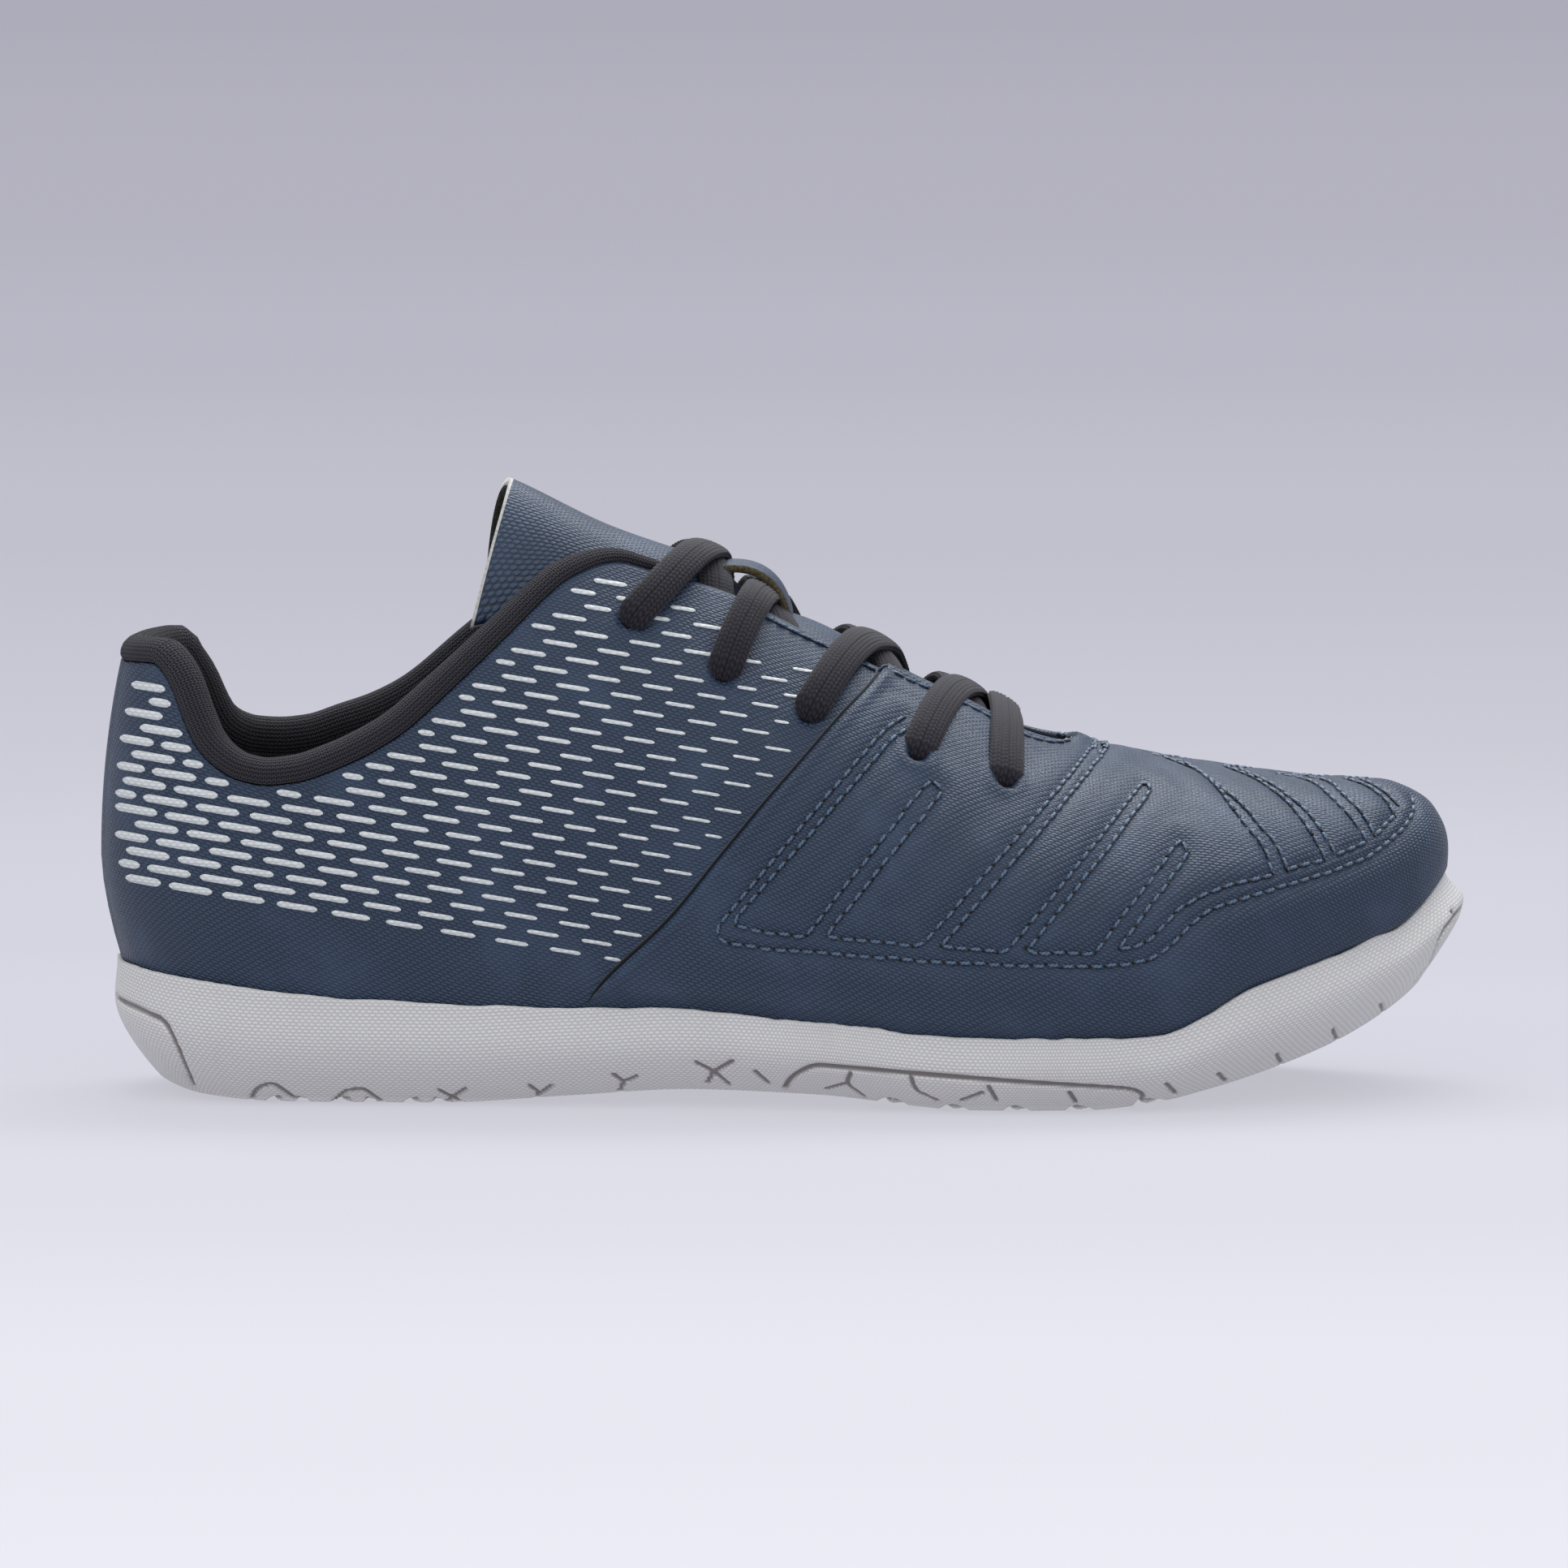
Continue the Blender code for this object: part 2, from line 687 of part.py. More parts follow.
def rows_to(top, rows):
    return list(WALL_ROWS) + [WIDEST_AT + (top - WIDEST_AT) * k / rows for k in range(1, rows + 1)]


def make_upper():
    points = []
    levels = len(WALL_ROWS) + UPPER_ROWS
    for c, top in zip(FACTS, TOPS):
        for v in rows_to(top, UPPER_ROWS):
            p = last_point(c, v)
            if v == 0.0:
                p.z += GAP
            points.append(p)
    count = len(RING)
    quads = []
    for i in range(count):
        j = (i + 1) % count
        for k in range(levels - 1):
            quads.append([i * levels + k, j * levels + k, j * levels + k + 1, i * levels + k + 1])
    made = shell("upper", points, quads, 0.0, -UPPER_WALL, SYNTHETIC)
    cut(made, "lace_hole_cutter", lace_hole_cutters())
    return made


def lace_hole(row, side):
    along = column(LACE_HOLES, "along")[row]
    height = column(LACE_HOLES, "height")[row] * INSTEP_HEIGHT
    return place_on_side(along, height, side)


HOLES = {(row, side): lace_hole(row, side) for row in range(len(LACE_HOLES) - 1) for side in (-1, 1)}


def lace_hole_cutters():
    points = []
    faces = []
    corners = 8
    for (row, side), (f, v) in HOLES.items():
        centre = last_point(column_facts(f, side), v)
        normal = last_normal(f, side, v)
        across = normal.cross(Vector((0, 0, 1))).normalized()
        up = across.cross(normal)
        first = len(points)
        for reach in (-2.5 * UPPER_WALL, 2.5 * UPPER_WALL):
            for k in range(corners):
                turn = 2 * math.pi * k / corners
                spoke = across * math.cos(turn) + up * math.sin(turn)
                points.append(centre + normal * reach + spoke * EYELET_RADIUS)
        faces += ring_faces(first, first + corners, corners)
        faces.append([first + k for k in reversed(range(corners))])
        faces.append([first + corners + k for k in range(corners)])
    return points, faces


def cut(target, name, shape):
    # Cuts away the joined bodies of shape
    points, faces = shape
    cutter = build(name, points, faces, None)
    cutter.hide_render = True
    cutter.display_type = "WIRE"
    change = target.modifiers.new(name, "BOOLEAN")
    change.operation = "DIFFERENCE"
    change.solver = "EXACT"
    change.object = cutter


def make_vamp():
    # The front panel lies over the upper from the side seam to the toe
    columns = []
    for (f, side), c, top in zip(RING, FACTS, TOPS):
        edge = min(top, seam_edge(f, side))
        if edge > VAMP_FOOT:
            columns.append((f, side, c, edge))
    for side in (-1, 1):
        f = seam_foot(side)
        columns.append((f, side, column_facts(f, side), VAMP_FOOT))
    lateral = sorted([item for item in columns if item[1] < 0], key=lambda item: item[0])
    medial = sorted([item for item in columns if item[1] > 0], key=lambda item: -item[0])
    columns = medial + lateral
    points = []
    start = LIP_AT + 0.004
    # Its rows are the upper's own, stopped at the seam, so that the two walls run side by side
    for f, side, c, edge in columns:
        rows = [start] + [v for v in rows_to(top_edge(f, side), UPPER_ROWS) if v > start]
        points += [last_point(c, min(v, edge)) for v in rows]
    levels = len(rows)
    quads = []
    for i in range(len(columns) - 1):
        for k in range(levels - 1):
            a = i * levels + k
            b = a + levels
            quads.append([a, b, b + 1, a + 1])
    return shell("vamp", points, quads, VAMP_CLEARANCE + VAMP_THICKNESS, VAMP_CLEARANCE, SYNTHETIC)


def sole_wall_point(c, height):
    # Outer wall of the sole; height is a share of the wall from floor to lip
    full = lip_inset(along_of(c["x"])) * ease((height - SOLE_SHOULDER) / (1 - SOLE_SHOULDER))
    round_off = SOLE_EDGE_ROUND * max(0.0, 1 - height / SOLE_SHOULDER) ** EDGE_CURVE
    inset = full + round_off
    x = c["x"] - c["nx"] * inset
    y = c["y"] - c["ny"] * inset
    floor = floor_height(along_of(x))
    return Vector((x, y, floor + (c["lip"] - floor) * height))


def make_sole():
    count = len(RING)
    rings = []
    inset = SOLE_EDGE_ROUND + TREAD_EDGE
    tread = [Vector((c["x"] - c["nx"] * inset, c["y"] - c["ny"] * inset, 0)) for c in FACTS]
    for p in tread:
        p.z = float(floor_height(along_of(p.x)))
    rings.append(tread)
    for height in SOLE_RINGS:
        rings.append([sole_wall_point(c, height) for c in FACTS])
    for v in (LIP_AT, LIP_AT / 2, 0.0):
        ring = []
        for c in FACTS:
            p = last_point(c, v)
            p.x += c["nx"] * GAP
            p.y += c["ny"] * GAP
            ring.append(p)
        rings.append(ring)
    points = [p for ring in rings for p in ring]
    faces = cap_faces(0, count)
    for k in range(len(rings) - 1):
        faces += ring_faces(k * count, (k + 1) * count, count)
    faces += cap_faces((len(rings) - 1) * count, count)
    made = build("sole", points, faces, RUBBER)
    cut(made, "lug_cutter", lug_cutters())
    cut(made, "insert_line_cutter", insert_cutters())
    return made


def bar(path, width_way, half_width, height_way, low, high):
    # A bar of four faces along a path
    points = []
    for p, across, up in zip(path, width_way, height_way):
        points += [
            p + across * half_width + up * low,
            p + across * half_width + up * high,
            p - across * half_width + up * high,
            p - across * half_width + up * low,
        ]
    faces = []
    for k in range(len(path) - 1):
        faces += ring_faces(4 * k, 4 * k + 4, 4)
    faces.append([3, 2, 1, 0])
    last = 4 * (len(path) - 1)
    faces.append([last, last + 1, last + 2, last + 3])
    return points, faces


def joined(shapes):
    points = []
    faces = []
    for shape_points, shape_faces in shapes:
        first = len(points)
        points += shape_points
        faces += [[first + i for i in face] for face in shape_faces]
    return points, faces


def lug_cutters():
    shapes = []
    for along, slant in zip(column(LUG_GROOVES, "along"), column(LUG_GROOVES, "slant")):
        x = x_of(along)
        reach = 1.1
        path = []
        for share in (-1.0, -0.8, -0.4, 0.0, 0.4, 0.8, 1.0):
            edge = abs(outline_point(x, -1 if share < 0 else 1))
            px = x + slant * SHOE_LENGTH * abs(share)
            path.append(Vector((px, share * reach * edge, float(floor_height(along_of(px))))))
        across = [Vector((1, 0, 0))] * len(path)
        up = [Vector((0, 0, 1))] * len(path)
        shapes.append(bar(path, across, LUG_GROOVE_WIDTH / 2, up, -LUG_CUTTER_DROP, LUG_GROOVE_DEPTH))
    return joined(shapes)


def insert_line(table, side, turn_end):
    path = []
    alongs = column(table, "along")
    heights = column(table, "height")
    for along, height in zip(alongs, heights):
        f = station_of(x_of(along), side)
        path.append((f, height))
    points = [sole_wall_point(column_facts(f, side), h) for f, h in path]
    outs = [Vector((*base(f, side)[2:], 0)) for f, h in path]
    if turn_end:
        # carried round the end of the shoe to the other side
        mirrored = [sole_wall_point(column_facts(f, -side), h) for f, h in path]
        outs_other = [Vector((*base(f, -side)[2:], 0)) for f, h in path]
        points = points[::-1] + mirrored
        outs = outs[::-1] + outs_other
    sides = []
    for k, out in enumerate(outs):
        way = points[min(k + 1, len(points) - 1)] - points[max(k - 1, 0)]
        sides.append(way.cross(out).normalized())
    return bar(points, sides, INSERT_LINE_WIDTH / 2, outs, -INSERT_LINE_WIDTH, INSERT_CUTTER_REACH)


def insert_cutters():
    return joined([
        insert_line(FOREFOOT_INSERT, -1, False),
        insert_line(HEEL_INSERT, -1, True),
        insert_line(TOE_INSERT, -1, True),
    ])


def make_insole():
    count = len(RING)
    rings = []
    top = GAP + INSOLE_THICKNESS
    for height, tuck in ((GAP, 0.0), (GAP + 0.5 * INSOLE_THICKNESS, 0.0), (top, INSOLE_TUCK)):
        ring = []
        for c in FACTS:
            foot = last_point(c, 0.0)
            inset = UPPER_WALL + 2 * GAP + tuck
            p = Vector((foot.x - c["nx"] * inset, foot.y - c["ny"] * inset, foot.z + height))
            ring.append(p)
        rings.append(ring)
    points = [p for ring in rings for p in ring]
    faces = cap_faces(0, count)
    for k in range(len(rings) - 1):
        faces += ring_faces(k * count, (k + 1) * count, count)
    faces += cap_faces((len(rings) - 1) * count, count)
    return build("insole", points, faces, SOCK)


def make_tongue():
    # A sheet under the throat: its rows run from the top edge to under the vamp
    lengthwise = 15
    crosswise = 12
    points = []
    tucks = []
    for i in range(lengthwise + 1):
        share = i / lengthwise
        along = TONGUE_TOP + (TONGUE_FRONT - TONGUE_TOP) * share
        for j in range(crosswise + 1):
            across = 2 * j / crosswise - 1
            side = -1 if across < 0 else 1
            bent = along - TONGUE_BOW * across * across * (1 - share) ** 3
            f = station_of(x_of(bent), side)
            for _ in range(4):
                f += (ridge_x(f) - x_of(bent)) / (2.4 * SHOE_LENGTH)
            c = column_facts(f, side)
            half = abs(across) * TONGUE_HALF_WIDTH * (1 - TONGUE_NARROWING * share)
            middle = c["ridge_y"]
            v = first_crossing(c, lambda p: half - abs(p.y - middle), WIDEST_AT, 1.0)
            p = last_point(c, v)
            points.append(p)
            ramp = ease((TUCK_FROM - along) / TUCK_OVER)
            under_vamp = ease((along - THROAT_FRONT + UNDER_VAMP_FROM) / UNDER_VAMP_OVER)
            tucked = TUCK_ALL_ALONG + (1 - TUCK_ALL_ALONG) * ramp
            tucks.append(TONGUE_TUCK * across * across * tucked + 2 * GAP * under_vamp)
    tuck_at = {tuple(round(n, 6) for n in p): tuck for p, tuck in zip(points, tucks)}
    columns = crosswise + 1
    quads = []
    for i in range(lengthwise):
        for j in range(crosswise):
            a = i * columns + j
            quads.append([a, a + 1, a + columns + 1, a + columns])

    def outer(p):
        return -(UPPER_WALL + GAP + tuck_at[tuple(round(n, 6) for n in p)])

    return shell("tongue", points, quads, outer, lambda p: outer(p) - TONGUE_THICKNESS, SYNTHETIC)


def make_collar():
    # A padded roll that sits on the quarters' top edge from one peak round the heel to the other
    half = len(RING) // 2
    peak = x_of(COLLAR_FRONT)
    lateral = [k for k in range(half + 1) if FACTS[k]["ridge_x"] < peak]
    stations = [(RING[k], FACTS[k], TOPS[k]) for k in lateral + list(range(half + 1, 2 * half - lateral[0] + 1))]
    edges = []
    for (f, side), c, v in stations:
        edges.append((last_point(c, v), last_normal(f, side, v)))
    points = []
    corners = 8
    count = len(edges)
    for k, (p, normal) in enumerate(edges):
        ahead = (edges[min(k + 1, count - 1)][0] - p).normalized()
        behind = (p - edges[max(k - 1, 0)][0]).normalized()
        up = (ahead + behind).normalized().cross(normal)
        share = abs(2 * k / (count - 1) - 1)
        size = 1 - COLLAR_TAPER * ease((share - COLLAR_TAPER_FROM) / COLLAR_TAPER_OVER)
        high = COLLAR_ROLL_HEIGHT * size / 2
        thick = COLLAR_ROLL_THICKNESS * size / 2
        centre = p + up * (1.5 * GAP + 1.03 * high) - normal * thick
        for n in range(corners):
            turn = 2 * math.pi * (n + 0.5) / corners
            points.append(centre + up * math.sin(turn) * high * 1.05 + normal * math.cos(turn) * thick * 1.05)
    faces = []
    for k in range(count - 1):
        faces += ring_faces(corners * k, corners * (k + 1), corners)
    faces.append([n for n in reversed(range(corners))])
    faces.append([corners * (count - 1) + n for n in range(corners)])
    return build("collar", points, faces, KNIT)


def lace_band(start, end, cross_over=0.0, reach=1.0, steps=16):
    # A flat band over the throat from one lace hole towards another, lying on the upper's outer face.
    # With reach under 1 it stays on the tongue past the middle and ends inside the far edge of the throat.
    f_start, v_start = HOLES[start]
    f_end, v_end = HOLES[end]
    path = []
    ups = []
    over_vamp = VAMP_CLEARANCE + VAMP_THICKNESS
    on_tongue = 1.4 * GAP + LACE_THICKNESS / 2 - UPPER_WALL - GAP + cross_over
    for k in range(steps + 1):
        share = reach * k / steps
        across = 2 * share - 1
        side = start[1] if across < 0 else end[1]
        v = 1 - (1 - (v_start if across < 0 else v_end)) * abs(across)
        f = f_start + (f_end - f_start) * share
        p = last_point(column_facts(f, side), v)
        on_vamp = ease((along_of(p.x) - LACE_ON_VAMP_FROM) / LACE_ON_VAMP_OVER)
        on_upper = GAP + over_vamp * on_vamp + LACE_THICKNESS / 2
        edge = ease((abs(across) - LACE_LEAVES_AT) / LACE_LEAVES_OVER) if across < 0 or reach == 1 else 0.0
        lift = on_tongue + (on_upper - on_tongue) * edge
        normal = last_normal(f, side, v)
        if abs(across) < 1e-9:
            normal = Vector((normal.x, 0, normal.z)).normalized()
        path.append(p + normal * lift)
        ups.append(normal)
    sides = []
    for k, up in enumerate(ups):
        way = (path[min(k + 1, steps)] - path[max(k - 1, 0)]).normalized()
        sides.append(way.cross(up).normalized())
    half = LACE_THICKNESS / 2
    return bar(path, sides, LACE_WIDTH / 2, ups, -half, half)


def make_laces():
    rows = len(LACE_HOLES) - 1
    for row in range(rows - 1):
        under = build(f"lace_under_{row + 1}", *lace_band((row, 1), (row + 1, -1), 0.0, LACE_REACH), None)
        over = build(f"lace_cross_{row + 1}", *lace_band((row, -1), (row + 1, 1), LACE_LIFT, LACE_REACH), LACE)
        under.hide_render = True
        under.display_type = "WIRE"
        join = over.modifiers.new("crossing", "BOOLEAN")
        join.operation = "UNION"
        join.solver = "EXACT"
        join.object = under
    build("lace_bar", *lace_band((rows - 1, -1), (rows - 1, 1)), LACE)


def make_loop():
    # A strap along the tongue, raised over the second crossing
    path = []
    ups = []
    steps = 10
    for k in range(steps + 1):
        share = k / steps
        along = LOOP_FROM + (LOOP_TO - LOOP_FROM) * share
        f = station_of(x_of(along), -1)
        for _ in range(4):
            f += (ridge_x(f) - x_of(along)) / (2.4 * SHOE_LENGTH)
        c = column_facts(f, -1)
        p = last_point(c, 1.0)
        normal = last_normal(f, -1, 1.0)
        normal = Vector((normal.x, 0, normal.z)).normalized()
        seat = -UPPER_WALL
        arch = ease(min(share, 1 - share) / LOOP_RAMP)
        lift = seat + (LOOP_RISE + LACE_THICKNESS) * arch + LOOP_THICKNESS / 2
        path.append(p + normal * lift)
        ups.append(normal)
    sides = [Vector((0, 1, 0))] * len(path)
    half = LOOP_THICKNESS / 2
    points, faces = bar(path, sides, LOOP_WIDTH / 2, ups, -half, half)
    return build("tongue_loop", points, faces, SYNTHETIC)


def settle():
    # The origin lies on the floor under the middle of the whole shoe
    low = Vector((math.inf, math.inf, math.inf))
    high = -low
    for made in bpy.data.objects:
        if made.hide_render:
            continue
        for vertex in made.data.vertices:
            low = Vector(map(min, low, vertex.co))
            high = Vector(map(max, high, vertex.co))
    middle = (low + high) / 2
    for made in bpy.data.objects:
        for vertex in made.data.vertices:
            vertex.co.x -= middle.x
            vertex.co.y -= middle.y


make_sole()
make_upper()
make_vamp()
make_insole()
make_tongue()
make_collar()
make_laces()
make_loop()
settle()
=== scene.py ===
import bmesh
import bpy
import math
import numpy as np
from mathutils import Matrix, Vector
from mathutils.bvhtree import BVHTree
from mathutils.kdtree import KDTree


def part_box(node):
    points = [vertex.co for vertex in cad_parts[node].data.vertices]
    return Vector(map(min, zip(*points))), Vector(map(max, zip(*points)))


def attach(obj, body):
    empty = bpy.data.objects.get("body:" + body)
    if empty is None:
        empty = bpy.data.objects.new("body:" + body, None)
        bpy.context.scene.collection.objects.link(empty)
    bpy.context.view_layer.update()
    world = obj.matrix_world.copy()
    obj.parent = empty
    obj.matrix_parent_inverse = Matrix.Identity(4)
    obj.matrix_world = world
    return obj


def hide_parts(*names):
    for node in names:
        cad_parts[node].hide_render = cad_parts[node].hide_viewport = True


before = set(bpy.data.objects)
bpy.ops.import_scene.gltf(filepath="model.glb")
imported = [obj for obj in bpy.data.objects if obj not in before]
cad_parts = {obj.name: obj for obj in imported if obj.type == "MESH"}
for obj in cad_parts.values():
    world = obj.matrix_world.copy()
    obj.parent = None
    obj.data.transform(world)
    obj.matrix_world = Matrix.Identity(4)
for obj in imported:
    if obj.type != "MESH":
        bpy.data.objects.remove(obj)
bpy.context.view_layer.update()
mm = 0.001
seed = np.random.default_rng(12)


# The last: a right shoe with its toe to +X and its lateral side to -Y, in metres
last = {
    "length": 0.287,
    "ballWidth": 0.103,
    "waistWidth": 0.078,
    "heelWidth": 0.072,
    "heelRound": 0.036,
    "toeRoundLateral": 0.105,
    "toeRoundMedial": 0.080,
    "toeTipSide": 0.005,
    "toeSpring": 0.031,
    "soleWall": 0.0246,
    "soleThickness": 0.012,
    "soleEdgeRound": 0.009,
    "ankle": 0.150,
    "instep": 0.105,
    "toeBox": 0.0638,
    "collarBack": 0.0925,
    "collarLow": 0.0680,
    "collarPeak": 0.1125,
    "throatHalf": 0.018,
    "throatFront": 0.712,
    "throatFrontRound": 0.050,
    "wall": 0.0018,
    "lip": 0.0010,
    "gap": 0.0003,
}

# Rows run along the shoe from 0 at the heel to 1 at the toe tip, lengths are shares of the sizes above
soleSide = [  # along, floor, wall, bed
    (0.000, 0.258, 0.813, 0.72), (0.034, 0.116, 0.943, 0.78), (0.069, 0.039, 1.000, 0.90),
    (0.121, 0.006, 0.967, 1.00), (0.165, 0.000, 0.930, 1.05), (0.240, 0.000, 0.878, 1.08),
    (0.340, 0.055, 0.776, 0.95), (0.430, 0.105, 0.710, 0.75), (0.517, 0.085, 0.640, 0.70),
    (0.635, 0.000, 0.640, 0.74), (0.715, 0.000, 0.640, 0.72), (0.772, 0.052, 0.593, 0.68),
    (0.803, 0.116, 0.650, 0.67), (0.843, 0.213, 0.780, 0.65), (0.897, 0.381, 0.760, 0.64),
    (0.931, 0.532, 0.703, 0.62), (0.962, 0.710, 0.610, 0.60), (1.000, 1.000, 0.610, 0.58),
]
outlineRows = [  # along, named width, lateral half, medial half
    (0.00, "heelWidth", 0.500, 0.480), (0.12, "heelWidth", 0.515, 0.490), (0.26, "heelWidth", 0.540, 0.470),
    (0.40, "waistWidth", 0.530, 0.420), (0.50, "waistWidth", 0.585, 0.465), (0.60, "ballWidth", 0.500, 0.420),
    (0.69, "ballWidth", 0.530, 0.470), (0.80, "ballWidth", 0.525, 0.490), (0.90, "ballWidth", 0.480, 0.470),
    (1.00, "ballWidth", 0.440, 0.450),
]
ridgeRows = [  # along, named height, share, side step as a share of the ball width
    (0.160, "ankle", 1.000, 0.000), (0.207, "ankle", 0.950, 0.000), (0.260, "ankle", 0.905, 0.005),
    (0.297, "instep", 1.254, 0.010), (0.366, "instep", 1.162, 0.020), (0.459, "instep", 1.067, 0.030),
    (0.500, "instep", 1.000, 0.035), (0.534, "instep", 0.948, 0.035), (0.586, "instep", 0.867, 0.035),
    (0.628, "instep", 0.810, 0.035), (0.672, "toeBox", 1.217, 0.035), (0.707, "toeBox", 1.150, 0.035),
    (0.766, "toeBox", 1.085, 0.040), (0.834, "toeBox", 1.035, 0.045), (0.879, "toeBox", 1.008, 0.048),
    (0.917, "toeBox", 1.000, 0.050),
]
bodyRows = [  # along, swell, rise, fullness, lip
    (0.00, 0.175, 0.90, 2.00, 0.024), (0.12, 0.120, 0.75, 1.80, 0.030), (0.24, 0.070, 0.64, 1.72, 0.034),
    (0.30, 0.060, 0.60, 1.85, 0.035), (0.36, 0.055, 0.58, 2.15, 0.035), (0.45, 0.050, 0.57, 2.08, 0.035),
    (0.60, 0.060, 0.49, 2.00, 0.035), (0.80, 0.050, 0.41, 2.10, 0.045), (0.92, 0.025, 0.25, 2.20, 0.090),
    (1.00, 0.012, 0.18, 2.25, 0.160),
]
collarRows = [  # along, named height, share, rise on the medial side
    (0.000, "collarBack", 0.984, 0.00), (0.020, "collarBack", 0.992, 0.00), (0.033, "collarBack", 0.994, 0.00),
    (0.041, "collarBack", 0.975, -0.03), (0.048, "collarBack", 0.940, -0.03), (0.057, "collarBack", 0.870, -0.02),
    (0.066, "collarLow", 1.107, 0.00), (0.080, "collarLow", 1.047, 0.02), (0.098, "collarLow", 1.006, 0.04),
    (0.119, "collarLow", 0.991, 0.05), (0.142, "collarLow", 1.001, 0.05), (0.168, "collarLow", 1.037, 0.05),
    (0.193, "collarLow", 1.085, 0.04), (0.218, "collarLow", 1.149, 0.03), (0.241, "collarPeak", 0.745, 0.02),
    (0.259, "collarPeak", 0.788, 0.02), (0.294, "collarPeak", 0.873, 0.01), (0.324, "collarPeak", 0.948, 0.00),
    (0.337, "collarPeak", 0.975, 0.00), (0.354, "collarPeak", 1.000, 0.00), (0.375, "collarPeak", 1.036, 0.00),
    (0.400, "collarPeak", 1.102, 0.00), (0.440, "collarPeak", 1.244, 0.00),
]
throatRows = [  # along, half width
    (0.20, 1.50), (0.30, 1.22), (0.35, 1.05), (0.41, 1.03), (0.50, 1.00), (0.60, 0.95), (0.66, 0.92), (0.71, 0.92),
]
seamRows = [  # along, height as a share of the instep
    (0.352, 0.210), (0.367, 0.257), (0.414, 0.381), (0.451, 0.505), (0.483, 0.610),
    (0.508, 0.686), (0.540, 0.781), (0.562, 0.838), (0.585, 0.924),
]
laceHoles = [(0.383, 0.963), (0.451, 0.859), (0.513, 0.780), (0.592, 0.696), (0.656, 0.642)]  # along, height

lipAt = 0.12
widestAt = 0.22


def smooth(xs, ys):
    xs = np.array(xs, float)
    ys = np.array(ys, float)
    steps = np.diff(xs)
    slopes = np.diff(ys) / steps
    bend = np.zeros(len(xs))
    bend[0] = slopes[0]
    bend[-1] = slopes[-1]
    for i in range(1, len(xs) - 1):
        if slopes[i - 1] * slopes[i] > 0:
            before = 2 * steps[i] + steps[i - 1]
            after = steps[i] + 2 * steps[i - 1]
            bend[i] = (before + after) / (before / slopes[i - 1] + after / slopes[i])

    def value(x):
        x = np.clip(x, xs[0], xs[-1])
        i = np.clip(np.searchsorted(xs, x) - 1, 0, len(xs) - 2)
        t = (x - xs[i]) / steps[i]
        rest = 1 - t
        rise = ys[i] * (1 + 2 * t) * rest ** 2 + ys[i + 1] * t ** 2 * (3 - 2 * t)
        return rise + steps[i] * (bend[i] * t * rest ** 2 - bend[i + 1] * t ** 2 * rest)

    return value


def curveOf(rows, place, size=1.0):
    return smooth([row[0] for row in rows], [row[place] * size for row in rows])


def namedCurve(rows, place):
    return smooth([row[0] for row in rows], [row[place] * last[row[1]] for row in rows])


floorAt = curveOf(soleSide, 1, last["toeSpring"])
wallAt = curveOf(soleSide, 2, last["soleWall"])
bedAt = curveOf(soleSide, 3, last["soleThickness"])
lateralHalf = namedCurve(outlineRows, 2)
medialHalf = namedCurve(outlineRows, 3)
ridgeHeight = namedCurve(ridgeRows, 2)
ridgeSide = curveOf(ridgeRows, 3, last["ballWidth"])
swellAt = curveOf(bodyRows, 1, last["soleWall"])
riseAt = curveOf(bodyRows, 2, last["soleWall"])
fullnessAt = curveOf(bodyRows, 3)
lipInset = curveOf(bodyRows, 4, last["soleWall"])
collarHeight = namedCurve(collarRows, 2)
medialRise = curveOf(collarRows, 3, last["collarLow"])
throatHalf = curveOf(throatRows, 1, last["throatHalf"])
seamHeight = curveOf(seamRows, 1, last["instep"])


def xOf(along):
    return (along - 0.5) * last["length"]


def alongOf(x):
    return x / last["length"] + 0.5


def ease(t):
    t = np.clip(t, 0, 1)
    return t * t * (3 - 2 * t)


def gridPlace(long, wide, third):
    # Distances over a sheet for the grain, from one list along it and one across it
    here = np.zeros((len(long), len(wide)))
    return np.stack([here + long[:, None], here + wide[None, :], here + third], -1)


def unit(vectors):
    return vectors / np.linalg.norm(vectors, axis=1)[:, None]


def wayAlong(points):
    # How far along a line each of its points lies
    return np.concatenate(([0], np.cumsum(np.linalg.norm(np.diff(points, axis=0), axis=1))))


def allRound(count):
    # Stations and sides of a whole round: heel to toe on the lateral side and back on the medial side
    f = np.concatenate([np.arange(count + 1) / count, np.arange(count - 1, 0, -1) / count])
    return f, np.concatenate([-np.ones(count + 1), np.ones(count - 1)])


def closing(distance, length, power):
    share = np.clip(1 - distance / length, 0, 1)
    return (1 - share ** power) ** (1 / power)


def outlineY(x, side):
    along = alongOf(x)
    half = lateralHalf(along) if side < 0 else medialHalf(along)
    toeRound = last["toeRoundLateral"] if side < 0 else last["toeRoundMedial"]
    half = half * closing(x + last["length"] / 2, last["heelRound"], 2.2)
    half = half * closing(last["length"] / 2 - x, toeRound, 2.4)
    return last["toeTipSide"] * ease((along - 0.57) / 0.43) + side * half


def roundOneSide(side):
    turn = np.linspace(0, math.pi, 2400)
    x = np.cos(turn) * last["length"] / 2
    y = outlineY(x, side)
    step = np.hypot(np.diff(x), np.diff(y))
    middle = alongOf((x[1:] + x[:-1]) / 2)
    nearThroat = np.exp(-((middle - last["throatFront"] + 0.02) / 0.05) ** 2)
    nearSeam = np.exp(-((middle - 0.53) / 0.05) ** 2)
    way = np.concatenate(([0], np.cumsum(step * (1 + 0.9 * nearThroat + 1.1 * nearSeam))))
    length = np.concatenate(([0], np.cumsum(step)))
    return way / way[-1], x, y, length


wayRound = {-1: roundOneSide(-1), 1: roundOneSide(1)}


